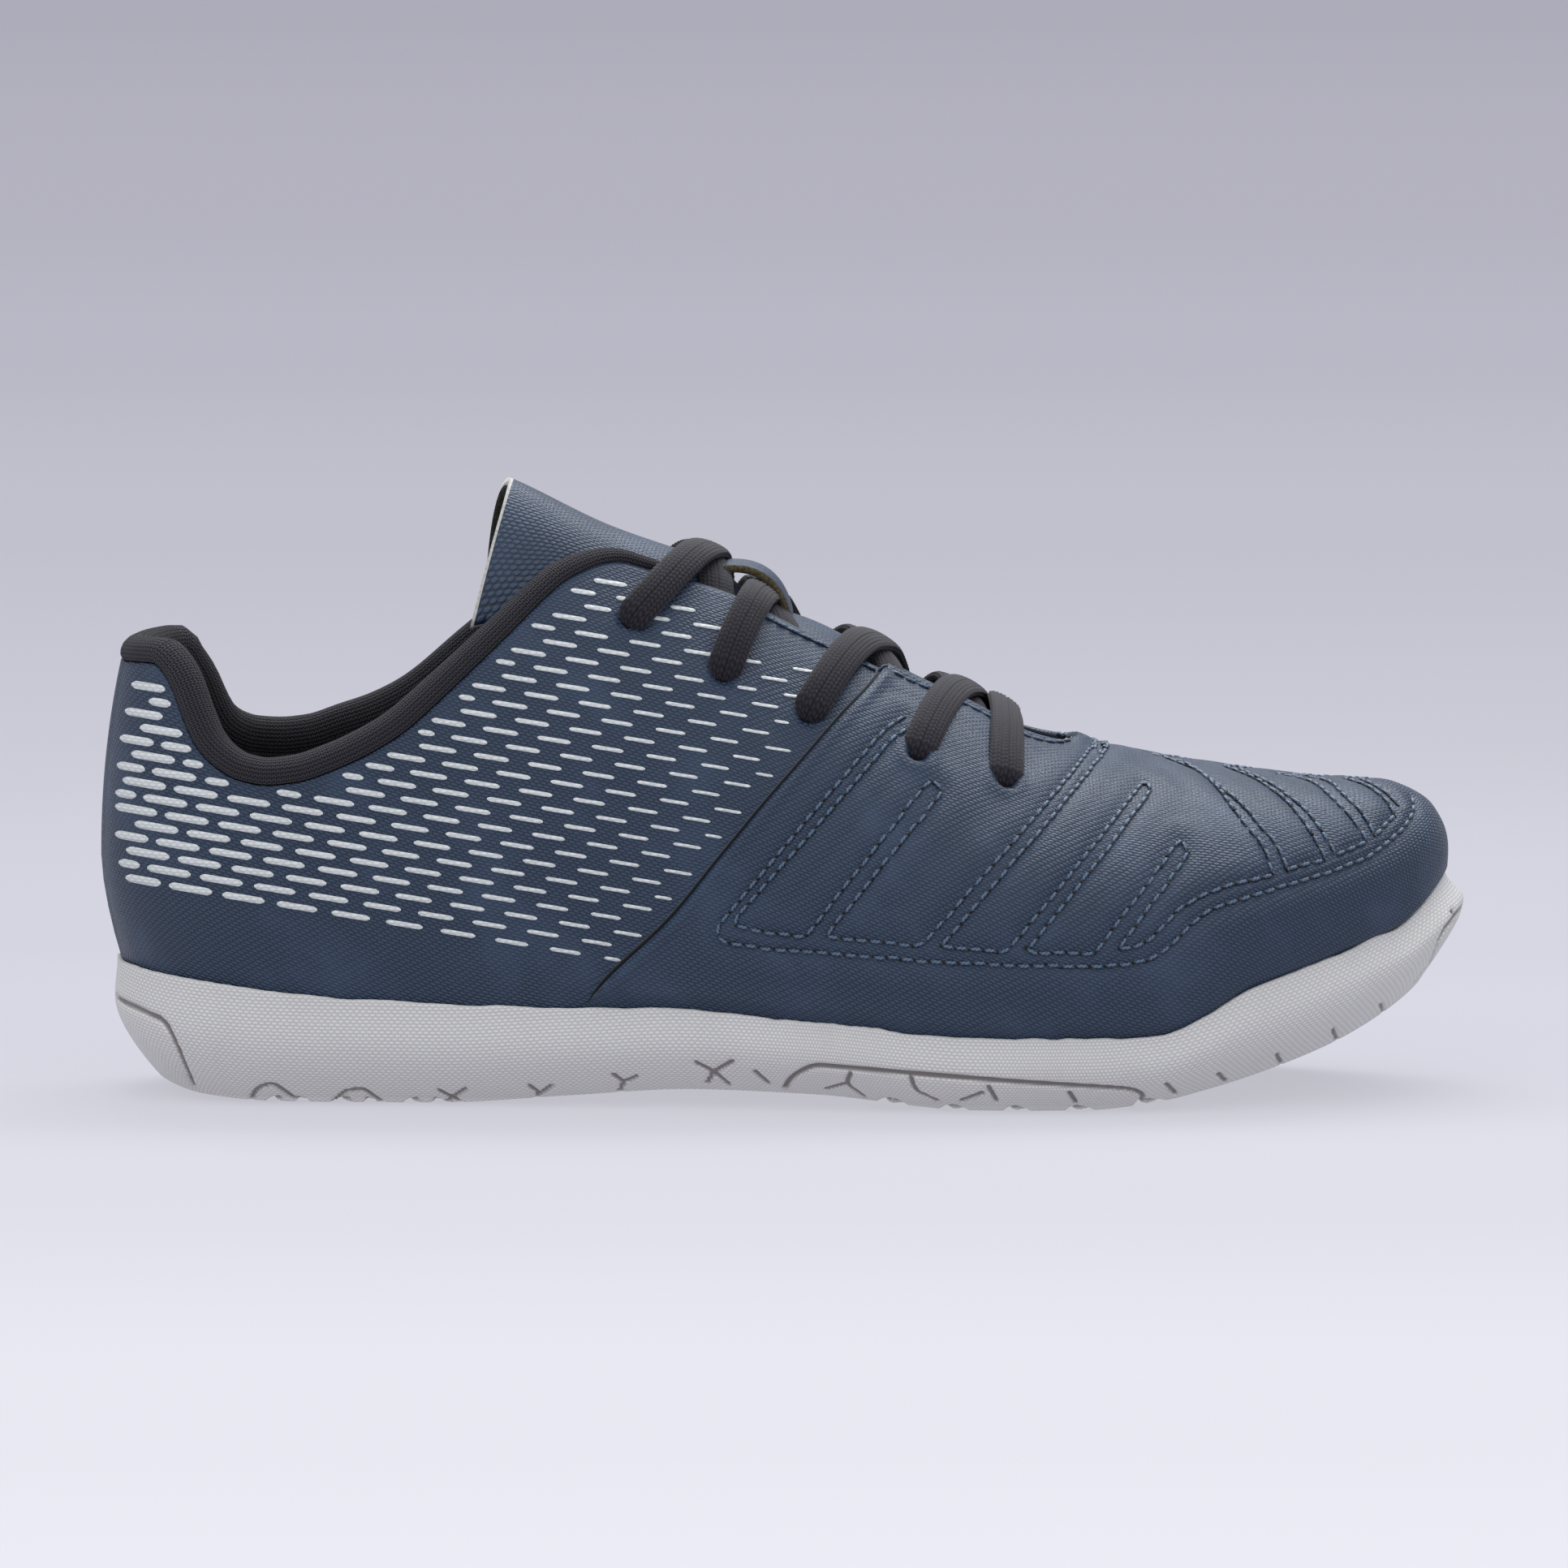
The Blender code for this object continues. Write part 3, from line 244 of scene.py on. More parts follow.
def onOutline(f, side):
    found = []
    for one in (-1, 1):
        way, xs, ys, length = wayRound[one]
        reach = 0.006
        dx = np.interp(f - reach, way, xs) - np.interp(f + reach, way, xs)
        dy = np.interp(f - reach, way, ys) - np.interp(f + reach, way, ys)
        size = np.hypot(dx, dy)
        end = (f < 1e-9) | (f > 1 - 1e-9)
        nx = np.where(end, np.where(f < 0.5, 1.0, -1.0), -one * dy / size)
        ny = np.where(end, 0.0, one * dx / size)
        found.append((np.interp(f, way, xs), np.interp(f, way, ys), nx, ny, np.interp(f, way, length)))
    return [np.where(side < 0, a, b) for a, b in zip(*found)]


def ridgeX(f):
    x = (onOutline(f, -1 + 0 * f)[0] + onOutline(f, 1 + 0 * f)[0]) / 2
    tip = last["length"] / 2
    toeFrom, toeTo, heelFrom, heelTo = xOf(0.776), xOf(0.917), xOf(0.259), xOf(0.162)
    toeShare = np.clip(1 - (x - toeFrom) / (tip - toeFrom), 0, 1)
    toe = toeFrom + (toeTo - toeFrom) * (1 - toeShare ** ((tip - toeFrom) / (toeTo - toeFrom)))
    heelShare = np.clip(1 - (heelFrom - x) / (tip + heelFrom), 0, 1)
    heel = heelFrom - (heelFrom - heelTo) * (1 - heelShare ** ((tip + heelFrom) / (heelFrom - heelTo)))
    return np.where(x > toeFrom, toe, np.where(x < heelFrom, heel, x))


ridgeGrid = np.linspace(0, 1, 1201)
ridgeGridX = ridgeX(ridgeGrid)
ridgeSteps = np.hypot(np.diff(ridgeGridX), np.diff(ridgeHeight(alongOf(ridgeGridX))))
ridgeWay = np.concatenate(([0], np.cumsum(ridgeSteps)))


def columnsOf(f, side):
    # What each upright column of the last needs, for arrays of stations
    f = np.asarray(f, float)
    side = np.asarray(side, float) + 0 * f
    x, y, nx, ny, way = onOutline(f, side)
    along = alongOf(x)
    lip = floorAt(along) + wallAt(along)
    middle = (onOutline(f, -1 + 0 * f)[0] + onOutline(f, 1 + 0 * f)[0]) / 2
    top = ridgeX(f)
    return {
        "f": f, "side": side, "x": x, "y": y, "nx": nx, "ny": ny, "way": way, "lip": lip,
        "bed": floorAt(alongOf(x - nx * 0.010)) + bedAt(along),
        "inset": lipInset(along) + last["lip"] + last["gap"],
        "swell": swellAt(along), "widest": lip + riseAt(along),
        "fullness": fullnessAt(alongOf(middle)),
        "ridgeX": top, "ridgeY": ridgeSide(alongOf(top)), "ridgeZ": ridgeHeight(alongOf(top)),
        "ridgeWay": np.interp(f, ridgeGrid, ridgeWay),
    }


def designShift():
    # The CAD model's origin lies under the middle of its box, the last's own under the middle of its length
    low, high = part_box("sole")
    f = np.linspace(0, 1, 43)
    ys = np.concatenate([onOutline(f, -1 + 0 * f)[1], onOutline(f, 1 + 0 * f)[1]])
    return np.array([(low.x + high.x) / 2, (low.y + high.y) / 2 - (ys.min() + ys.max()) / 2, 0.0])


shift = designShift()


def lastPoints(c, v):
    k = {name: np.asarray(value)[:, None] for name, value in c.items()}
    v = np.asarray(v, float)
    rising = k["lip"] + (k["widest"] - k["lip"]) * np.clip((v - lipAt) / (widestAt - lipAt), 0, 1)
    z = np.where(v <= lipAt, k["bed"] + (k["lip"] - k["bed"]) * v / lipAt, rising)
    below = np.maximum(0, (k["widest"] - z) / (k["widest"] - k["lip"]))
    inset = k["inset"] - k["swell"] + k["swell"] * below ** 1.6
    turn = np.clip((v - widestAt) / (1 - widestAt), 0, 1) * math.pi / 2
    keep = np.where(v >= 1, 0, np.maximum(0, np.cos(turn)) ** (2 / k["fullness"]))
    climb = np.sin(turn) ** (2 / k["fullness"])
    x = k["ridgeX"] + (k["x"] - k["nx"] * inset - k["ridgeX"]) * keep
    y = k["ridgeY"] + (k["y"] - k["ny"] * inset - k["ridgeY"]) * keep
    z = np.where(v > widestAt, k["widest"] + (k["ridgeZ"] - k["widest"]) * climb, z)
    return np.stack([x, y, z], -1) + shift


def firstCrossing(c, inside, low, high=1.0):
    count = len(c["f"])
    grid = np.repeat(np.linspace(low, high, 61)[None, :], count, 0)
    hit = inside(lastPoints(c, grid)) > 0
    found = hit.any(1)
    k = np.maximum(hit.argmax(1), 1)
    rows = np.arange(count)
    before, after = grid[rows, k - 1], grid[rows, k]
    for _ in range(22):
        middle = (before + after) / 2
        now = inside(lastPoints(c, middle[:, None]))[:, 0] > 0
        after = np.where(now, middle, after)
        before = np.where(now, before, middle)
    return np.where(found, after, high)


def opening(p, side):
    # Above 0 inside the collar or the throat
    along = alongOf(p[..., 0] - shift[0])
    collar = p[..., 2] - collarHeight(along) - np.where(side[:, None] > 0, medialRise(along), 0)
    front = last["throatFront"]
    rounding = closing(front - along, last["throatFrontRound"], 2.0)
    width = np.where(along < front, throatHalf(along) * rounding, -1)
    throat = width - np.abs(p[..., 1] - shift[1] - ridgeSide(along))
    throat = np.where(along < 0.30, -0.05, throat)
    blend = 0.006
    near = np.maximum(blend - np.abs(collar - throat), 0) / blend
    return np.maximum(collar, throat) + near * near * blend / 4


def topEdge(c):
    return firstCrossing(c, lambda p: opening(p, c["side"]), widestAt + 0.02)


def seamEdge(c):
    def behind(p):
        along = alongOf(p[..., 0] - shift[0])
        over = p[..., 2] - seamHeight(along)
        return np.where(along > 0.585, -1.0, np.where(along < 0.355, 1.0, over))

    return firstCrossing(c, behind, lipAt + 0.004)


def wayAt(f):
    lateral = np.interp(f, wayRound[-1][0], wayRound[-1][3])
    medial = np.interp(f, wayRound[1][0], wayRound[1][3])
    return (lateral + medial) / 2


def placeOn(c, v):
    # Distances over the skin in mm for grain and knit: along the shoe, and down from the ridge
    fine = np.linspace(0, 1, 160)
    whole = lastPoints(c, np.repeat(fine[None, :], len(c["f"]), 0))
    steps = np.linalg.norm(np.diff(whole, axis=1), axis=2)
    down = np.concatenate([np.cumsum(steps[:, ::-1], 1)[:, ::-1], np.zeros((len(steps), 1))], 1)
    climb = np.sin(np.clip((v - widestAt) / (1 - widestAt), 0, 1) * math.pi / 2)
    middle = 0.36
    length = (wayAt(c["f"]) - wayAt(middle))[:, None]
    ridge = (c["ridgeWay"] - np.interp(middle, ridgeGrid, ridgeWay))[:, None]
    along = length * (1 - climb) + ridge * climb
    depth = np.stack([np.interp(v[i], fine, down[i]) for i in range(len(v))])
    return np.stack([along / mm, depth / mm, v], -1)


# Meshes
def tubeFaces(first, rings, sides):
    # Faces of a closed tube whose rings of points follow each other from first on
    faces = []
    for k in range(rings - 1):
        a = first + k * sides
        b = a + sides
        faces += [[a + i, a + (i + 1) % sides, b + (i + 1) % sides, b + i] for i in range(sides)]
    faces.append([first + i for i in reversed(range(sides))])
    faces.append([first + (rings - 1) * sides + i for i in range(sides)])
    return faces


def meshFrom(name, points, faces, materials, place=None, extras=None, faceMaterial=None):
    mesh = bpy.data.meshes.new(name)
    mesh.from_pydata(np.asarray(points).reshape(-1, 3).tolist(), [], faces)
    if place is not None:
        layer = mesh.attributes.new("place", "FLOAT_VECTOR", "POINT")
        layer.data.foreach_set("vector", np.asarray(place, np.float32).reshape(-1))
    for title, values in (extras or {}).items():
        layer = mesh.attributes.new(title, "FLOAT", "POINT")
        layer.data.foreach_set("value", np.asarray(values, np.float32).reshape(-1))
    if faceMaterial is not None:
        mesh.polygons.foreach_set("material_index", np.asarray(faceMaterial, np.int32))
    mesh.shade_smooth()
    mesh.update()
    for one in materials:
        mesh.materials.append(one)
    made = bpy.data.objects.new(name, mesh)
    bpy.context.collection.objects.link(made)
    return made


def sheetFrom(points, place, closed):
    # One skin from a grid of columns and rows, equal points merged, its normals turned outward
    columns, rows = points.shape[:2]
    skin = bmesh.new()
    layer = skin.verts.layers.float_vector.new("place")
    verts = []
    for p, q in zip(points.reshape(-1, 3).tolist(), place.reshape(-1, 3).tolist()):
        vert = skin.verts.new(p)
        vert[layer] = q
        verts.append(vert)
    for i in range(columns if closed else columns - 1):
        first = i * rows
        second = ((i + 1) % columns) * rows
        for k in range(rows - 1):
            corners = (first + k, second + k, second + k + 1, first + k + 1)
            skin.faces.new([verts[corner] for corner in corners])
    bmesh.ops.remove_doubles(skin, verts=skin.verts, dist=2e-6)
    bmesh.ops.recalc_face_normals(skin, faces=skin.faces)
    middle = sum((v.co for v in skin.verts), Vector()) / len(skin.verts)
    far = max(skin.verts, key=lambda v: (v.co - middle).length)
    skin.normal_update()
    if far.normal.dot(far.co - middle) < 0:
        bmesh.ops.reverse_faces(skin, faces=skin.faces)
        skin.normal_update()
    return skin


def arraysOf(skin):
    layer = skin.verts.layers.float_vector["place"]
    skin.verts.index_update()
    co = np.array([v.co[:] for v in skin.verts])
    normal = np.array([v.normal[:] for v in skin.verts])
    place = np.array([v[layer][:] for v in skin.verts])
    return co, normal, place


def thicken(name, skin, outer, inner, materials, extras=None):
    # A closed wall between two offsets of a skin: outer face, inner face and rim
    co, normal, place = arraysOf(skin)
    count = len(co)
    points = np.concatenate([co + normal * outer[:, None], co + normal * inner[:, None]])
    faces = [[v.index for v in face.verts] for face in skin.faces]
    kinds = [0] * len(faces)
    backs = [[i + count for i in reversed(face)] for face in faces]
    kinds += [min(1, len(materials) - 1)] * len(backs)
    faces += backs
    for edge in skin.edges:
        if edge.is_boundary:
            loop = edge.link_loops[0]
            a, b = loop.vert.index, loop.link_loop_next.vert.index
            faces.append([b, a, a + count, b + count])
            kinds.append(min(2, len(materials) - 1))
    doubled = {title: np.concatenate([values, values]) for title, values in (extras or {}).items()}
    return meshFrom(name, points, faces, materials, np.concatenate([place, place]), doubled, kinds)


# Lace holes: how far round the middle faces are looked at, how deep a hole goes, and its loose rim
hole = {"radius": 0.0018, "near": 0.02, "deep": 0.008, "rim": 0.0016}


def punch(skin, centre, axis):
    # A round hole: faces inside are dropped and the rim is drawn to the circle
    centre, axis, radius = Vector(centre), Vector(axis), hole["radius"]

    def reach(p):
        way = p - centre
        deep = way.dot(axis)
        return (way - axis * deep).length if abs(deep) < hole["deep"] else 1.0

    inside = [f for f in skin.faces if (f.calc_center_median() - centre).length < hole["near"]]
    inside = [f for f in inside if reach(f.calc_center_median()) < radius]
    bmesh.ops.delete(skin, geom=inside, context="FACES")
    loose = radius + hole["rim"]
    for vert in skin.verts:
        if vert.is_boundary and (vert.co - centre).length < loose and reach(vert.co) < loose:
            way = vert.co - centre
            deep = axis * way.dot(axis)
            vert.co = centre + deep + (way - deep).normalized() * radius


# Lines drawn in the photograph's own pixels, laid on the shoe along the camera's view
photo = {
    "size": 1932,
    "middleX": 965,
    "floorY": 1340,
    "pixel": 0.0001724,
    "tilt": math.radians(5),
    "away": 0.2,
    "nearSkin": 0.19,
}


def castAt(px, py, side, tree):
    # Where the view through a pixel meets the skin; the medial side takes the same drawing mirrored
    x = (px - photo["middleX"]) * photo["pixel"]
    height = (photo["floorY"] - py) * photo["pixel"]
    c, s = math.cos(photo["tilt"]), math.sin(photo["tilt"])
    start = Vector((x, side * photo["away"], (height + photo["away"] * s) / c))
    view = Vector((0, -side * c, -s))
    found = tree.ray_cast(start, view)
    if found[0] is None:
        found = tree.find_nearest(start + view * photo["nearSkin"])
    return found[:2]


def rounded(points, radius):
    # Corners of a line replaced by short curves
    points = [np.array(p, float) for p in points]
    path = [points[0]]
    for before, here, after in zip(points, points[1:], points[2:]):
        back = before - here
        ahead = after - here
        a = here + back * min(0.45, radius / max(np.linalg.norm(back), 1e-9))
        b = here + ahead * min(0.45, radius / max(np.linalg.norm(ahead), 1e-9))
        for t in np.linspace(0, 1, 6):
            path.append(a * (1 - t) ** 2 + here * 2 * t * (1 - t) + b * t * t)
    path.append(points[-1])
    return np.array(path)


def evenly(points, step):
    points = np.asarray(points, float)
    way = wayAlong(points)
    count = max(2, int(round(way[-1] / step)) + 1)
    marks = np.linspace(0, way[-1], count)
    return np.stack([np.interp(marks, way, points[:, k]) for k in range(points.shape[1])], 1)


def layLine(pixels, side, tree, radius=6, step=3.0):
    return np.array([castAt(px, py, side, tree)[0] for px, py in evenly(rounded(pixels, radius), step)])


def distanceTo(points, targets):
    tree = KDTree(len(targets))
    for i, p in enumerate(targets):
        tree.insert(p, i)
    tree.balance()
    return np.array([tree.find(p)[2] for p in points])


# Shader helpers
def feed(tree, socket, value):
    if isinstance(value, bpy.types.NodeSocket):
        tree.links.new(value, socket)
    else:
        socket.default_value = value


def calc(tree, operation, *values):
    made = tree.nodes.new("ShaderNodeMath")
    made.operation = operation
    for socket, value in zip(made.inputs, values):
        feed(tree, socket, value)
    return made.outputs[0]


def ramp(tree, value, low, high, toLow=0.0, toHigh=1.0):
    made = tree.nodes.new("ShaderNodeMapRange")
    made.interpolation_type = "SMOOTHSTEP"
    for name, number in (("From Min", low), ("From Max", high), ("To Min", toLow), ("To Max", toHigh)):
        made.inputs[name].default_value = number
    feed(tree, made.inputs["Value"], value)
    return made.outputs["Result"]


def mixed(tree, factor, first, second):
    made = tree.nodes.new("ShaderNodeMix")
    made.data_type = "RGBA"
    feed(tree, made.inputs[0], factor)
    for socket, colour in ((made.inputs[6], first), (made.inputs[7], second)):
        feed(tree, socket, colour if isinstance(colour, bpy.types.NodeSocket) else (*colour, 1))
    return made.outputs[2]


def noise(tree, vector, scale, detail=3.0, rough=0.55):
    made = tree.nodes.new("ShaderNodeTexNoise")
    feed(tree, made.inputs["Vector"], vector)
    made.inputs["Scale"].default_value = scale
    made.inputs["Detail"].default_value = detail
    made.inputs["Roughness"].default_value = rough
    return made.outputs[0]


def bumped(tree, height, depth, strength=1.0, below=None):
    made = tree.nodes.new("ShaderNodeBump")
    made.inputs["Strength"].default_value = strength
    made.inputs["Distance"].default_value = depth
    feed(tree, made.inputs["Height"], height)
    if below is not None:
        feed(tree, made.inputs["Normal"], below)
    return made.outputs[0]


def attribute(tree, name):
    made = tree.nodes.new("ShaderNodeAttribute")
    made.attribute_name = name
    return made


def startMaterial(name, rough, sheen=0.0, specular=0.5):
    made = bpy.data.materials.new(name)
    made.use_nodes = True
    shader = made.node_tree.nodes["Principled BSDF"]
    shader.inputs["Roughness"].default_value = rough
    shader.inputs["Specular IOR Level"].default_value = specular
    if sheen:
        shader.inputs["Sheen Weight"].default_value = sheen
        shader.inputs["Sheen Roughness"].default_value = 0.45
    return made, made.node_tree, shader


def ovals(tree, place, pitchX, pitchY, wobble=0.12):
    # Staggered rows of small ovals, 1 on their tops and 0 between
    split = tree.nodes.new("ShaderNodeSeparateXYZ")
    feed(tree, split.inputs[0], place)
    drift = calc(tree, "MULTIPLY", calc(tree, "SUBTRACT", noise(tree, place, 0.8, 1.0), 0.5), wobble * 2)
    x = calc(tree, "DIVIDE", calc(tree, "ADD", split.outputs[0], drift), pitchX)
    y = calc(tree, "DIVIDE", calc(tree, "ADD", split.outputs[1], drift), pitchY)
    stagger = calc(tree, "MULTIPLY", calc(tree, "FLOORED_MODULO", calc(tree, "FLOOR", y), 2.0), 0.5)
    a = calc(tree, "SUBTRACT", calc(tree, "FRACT", calc(tree, "ADD", x, stagger)), 0.5)
    b = calc(tree, "SUBTRACT", calc(tree, "FRACT", y), 0.5)
    square = calc(tree, "ADD", calc(tree, "MULTIPLY", a, a), calc(tree, "MULTIPLY", b, b))
    return ramp(tree, calc(tree, "SQRT", square), 0.52, 0.20)


def wales(tree, place, wale, course):
    # Knit: columns of small V shaped stitches
    split = tree.nodes.new("ShaderNodeSeparateXYZ")
    feed(tree, split.inputs[0], place)
    x = calc(tree, "FRACT", calc(tree, "DIVIDE", split.outputs[0], wale))
    arm = calc(tree, "ABSOLUTE", calc(tree, "SUBTRACT", x, 0.5))
    y = calc(tree, "FRACT", calc(tree, "ADD", calc(tree, "DIVIDE", split.outputs[1], course), arm))
    loop = calc(tree, "SINE", calc(tree, "MULTIPLY", y, math.pi))
    width = calc(tree, "SINE", calc(tree, "MULTIPLY", arm, 2 * math.pi))
    return calc(tree, "MULTIPLY", loop, calc(tree, "ADD", calc(tree, "MULTIPLY", width, 0.75), 0.25))


# deep is painted shade between the grain's ovals, and colour gives the ovals' tops a painted highlight; worn tints
# lighter patches at random
synthetic = {
    "colour": (0.028, 0.055, 0.105),
    "worn": (0.040, 0.075, 0.135),
    "deep": (0.009, 0.019, 0.040),
    "rough": 0.43,
    "shine": 0.42,
    "pitch": (1.55, 0.68),
    "relief": 0.00016,
}


def makeSynthetic(name, inked=False, size=1.0):
    made, tree, shader = startMaterial(name, synthetic["rough"], 0.0, synthetic["shine"])
    place = attribute(tree, "place").outputs["Vector"]
    grain = ovals(tree, place, synthetic["pitch"][0] * size, synthetic["pitch"][1] * size)
    broad = noise(tree, place, 0.05, 4.0)
    fine = noise(tree, place, 2.2, 3.0)
    if inked:
        low, high = (0.55, 0.58, 0.58), (0.70, 0.73, 0.725)
    else:
        low, high = synthetic["deep"], synthetic["colour"]
    # The ovals' tops take the lighter tone as a painted highlight, and the gaps between them the darker one as
    # painted shade
    tone = mixed(tree, ramp(tree, grain, 0.0, 0.8), low, high)
    rubbed = (0.72, 0.745, 0.74) if inked else synthetic["worn"]
    tone = mixed(tree, ramp(tree, broad, 0.45, 0.75, 0.0, 0.45), tone, rubbed)
    feed(tree, shader.inputs["Base Color"], tone)
    smoothest, roughest = synthetic["rough"] - 0.05, synthetic["rough"] + 0.1
    feed(tree, shader.inputs["Roughness"], ramp(tree, fine, 0.3, 0.7, smoothest, roughest))
    pebble = bumped(tree, fine, 0.00003, 0.6)
    relief = synthetic["relief"] * (0.5 if inked else 1.0)
    feed(tree, shader.inputs["Normal"], bumped(tree, grain, relief, 1.0, pebble))
    return made


def makeCloth(name, colour, lit, wale, course, relief, sheen=0.35):
    made, tree, shader = startMaterial(name, 0.85, sheen, 0.25)
    place = attribute(tree, "place").outputs["Vector"]
    loops = wales(tree, place, wale, course)
    fibre = noise(tree, place, 6.0, 3.0)
    height = calc(tree, "ADD", loops, calc(tree, "MULTIPLY", fibre, 0.35))
    feed(tree, shader.inputs["Base Color"], mixed(tree, ramp(tree, height, 0.25, 1.1), colour, lit))
    feed(tree, shader.inputs["Normal"], bumped(tree, height, relief, 1.0))
    return made


def makePlainCloth(name, colour, lit, scale, relief, rough=0.9):
    made, tree, shader = startMaterial(name, rough, 0.3, 0.25)
    place = tree.nodes.new("ShaderNodeTexCoord").outputs["Object"]
    fibre = noise(tree, place, scale, 6.0, 0.7)
    feed(tree, shader.inputs["Base Color"], mixed(tree, ramp(tree, fibre, 0.3, 0.7), colour, lit))
    feed(tree, shader.inputs["Normal"], bumped(tree, fibre, relief, 0.9))
    return made


def makeThreadCloth(name, colour, lit):
    # Glossy thread with a painted highlight along its top and painted shade where it turns down into the trough
    made, tree, shader = startMaterial(name, 0.42, 0.1, 0.5)
    crown = attribute(tree, "crown").outputs["Fac"]
    feed(tree, shader.inputs["Base Color"], mixed(tree, ramp(tree, crown, 0.25, 1.0), colour, lit))
    return made


def makeBraidCloth(name, colour, lit):
    # Lace: the strands' tops catch the light, the gaps between them stay dark
    made, tree, shader = startMaterial(name, 0.75, 0.15, 0.3)
    split = tree.nodes.new("ShaderNodeSeparateXYZ")
    place = attribute(tree, "place").outputs["Vector"]
    feed(tree, split.inputs[0], place)
    fibre = noise(tree, place, 3.0, 4.0, 0.7)
    fluff = calc(tree, "MULTIPLY", calc(tree, "SUBTRACT", fibre, 0.5), 0.5)
    height = calc(tree, "ADD", split.outputs[2], fluff)
    feed(tree, shader.inputs["Base Color"], mixed(tree, ramp(tree, height, 0.1, 1.0), colour, lit))
    feed(tree, shader.inputs["Normal"], bumped(tree, fibre, 0.00012, 0.9))
    return made


rubber = {
    "colour": (0.53, 0.525, 0.515),
    "raised": (0.71, 0.70, 0.685),
    "grooveTone": (0.13, 0.112, 0.105),
    "pitch": (1.15, 0.72),
    "relief": 0.00010,
}


def makeRubber(name):
    made, tree, shader = startMaterial(name, 0.55)
    place = attribute(tree, "place").outputs["Vector"]
    dots = ovals(tree, place, *rubber["pitch"], 0.05)
    cloud = noise(tree, place, 0.06, 5.0)
    speck = noise(tree, place, 3.0, 3.0)
    tone = mixed(tree, ramp(tree, dots, 0.0, 1.0), rubber["colour"], rubber["raised"])
    tone = mixed(tree, ramp(tree, cloud, 0.5, 0.8, 0.0, 0.25), tone, (0.45, 0.44, 0.43))
    groove = attribute(tree, "groove").outputs["Fac"]
    # The grooves of the insert lines, sipes and lugs are coloured darker
    tone = mixed(tree, ramp(tree, groove, 0.15, 0.9, 0.0, 0.85), tone, rubber["grooveTone"])
    feed(tree, shader.inputs["Base Color"], tone)
    flatPart = calc(tree, "SUBTRACT", 1.0, ramp(tree, groove, 0.0, 0.3))
    height = calc(tree, "MULTIPLY", dots, flatPart)
    soft = bumped(tree, speck, 0.00002, 0.5)
    feed(tree, shader.inputs["Normal"], bumped(tree, height, rubber["relief"], 0.9, soft))
    shader.inputs["Subsurface Weight"].default_value = 0.05
    shader.inputs["Subsurface Scale"].default_value = 0.002
    return made


navySkin = makeSynthetic("navySynthetic")
tongueSkin = makeSynthetic("navyTongue", size=1.05)
inkSkin = makeSynthetic("paleInk", inked=True)
knitSkin = makeCloth("collarKnit", (0.001, 0.001, 0.002), (0.055, 0.050, 0.068), 1.05, 0.85, 0.00060, 0.08)
liningSkin = makeCloth("liningKnit", (0.005, 0.005, 0.006), (0.080, 0.077, 0.088), 1.1, 0.85, 0.00045, 0.12)
braidSkin = makeBraidCloth("laceBraid", (0.0004, 0.0004, 0.0008), (0.022, 0.018, 0.031))
threadSkin = makeThreadCloth("blueThread", (0.003, 0.007, 0.016), (0.080, 0.135, 0.215))
# The vamp's cut edge, coloured near black as painted shade of the seam's gap
seamShadeSkin = makePlainCloth("cutEdgeShade", (0.004, 0.007, 0.014), (0.010, 0.018, 0.034), 2500.0, 0.00004, 0.7)
# Near black that stands in for shade: in the needle holes and along the foot of the seam
shadeSkin = makePlainCloth("paintedShade", (0.003, 0.004, 0.007), (0.006, 0.008, 0.012), 3000.0, 0.00002)
edgeSkin = makePlainCloth("rawEdge", (0.36, 0.36, 0.34), (0.62, 0.61, 0.57), 1800.0, 0.00008, 0.75)
backSkin = makePlainCloth("tongueBack", (0.010, 0.010, 0.008), (0.060, 0.058, 0.048), 1500.0, 0.00020)
oliveSkin = makePlainCloth("loopEdge", (0.020, 0.018, 0.008), (0.15, 0.125, 0.055), 2200.0, 0.00012)
sockSkin = makePlainCloth("sockFabric", (0.012, 0.012, 0.014), (0.045, 0.045, 0.050), 1200.0, 0.00015)
soleSkin = makeRubber("soleRubber")
print("materials made")


# Quarters: the whole wall of the upper up to the collar's edge, lined inside
quarters = {
    "stations": 215,
    "rows": 44,
    "hollow": 0.5,
    "edgeBead": (0.22, 1.2),
    "strip": 0.35,
    "stripHalf": 7.0,
    "ripple": 0.12,
}


def makeQuarters():
    f, side = allRound(quarters["stations"])
    c = columnsOf(f, side)
    top = topEdge(c)
    low = np.array([0.0, 0.06, 0.10, 0.12, 0.145, 0.17, 0.195, 0.22])
    share = np.arange(1, quarters["rows"] + 1) / quarters["rows"]
    v = np.concatenate([np.repeat(low[None, :], len(f), 0), widestAt + (top[:, None] - widestAt) * share], 1)
    points = lastPoints(c, v)
    points[:, 0, 2] += last["gap"]
    return sheetFrom(points, placeOn(c, v), True)


# Vamp: the front panel from the side seam to the toe, laid over the quarters
vamp = {
    "stations": 190,
    "rows": 92,
    "start": 0.112,
    "foot": 0.135,
    "lift": 0.00025,
    "thickness": 0.0013,
    "edgeBead": (0.60, 1.5),
    "pull": 0.42,
    "pullWide": 1.15,
    "puff": 0.32,
    "puffFrom": 4.2,
    "puffWide": 2.6,
    # The shadow cord: a dark tube that paints the seam's shadow line
    "shadowCord": 0.0006,
    "shadowCordOut": 0.00025,
    "shadowCordUp": 0.0002,
}


def seamFoot(side):
    low, high = 0.5, 0.9
    for _ in range(30):
        middle = (low + high) / 2
        if seamEdge(columnsOf(np.array([middle]), side))[0] > vamp["foot"]:
            low = middle
        else:
            high = middle
    return low


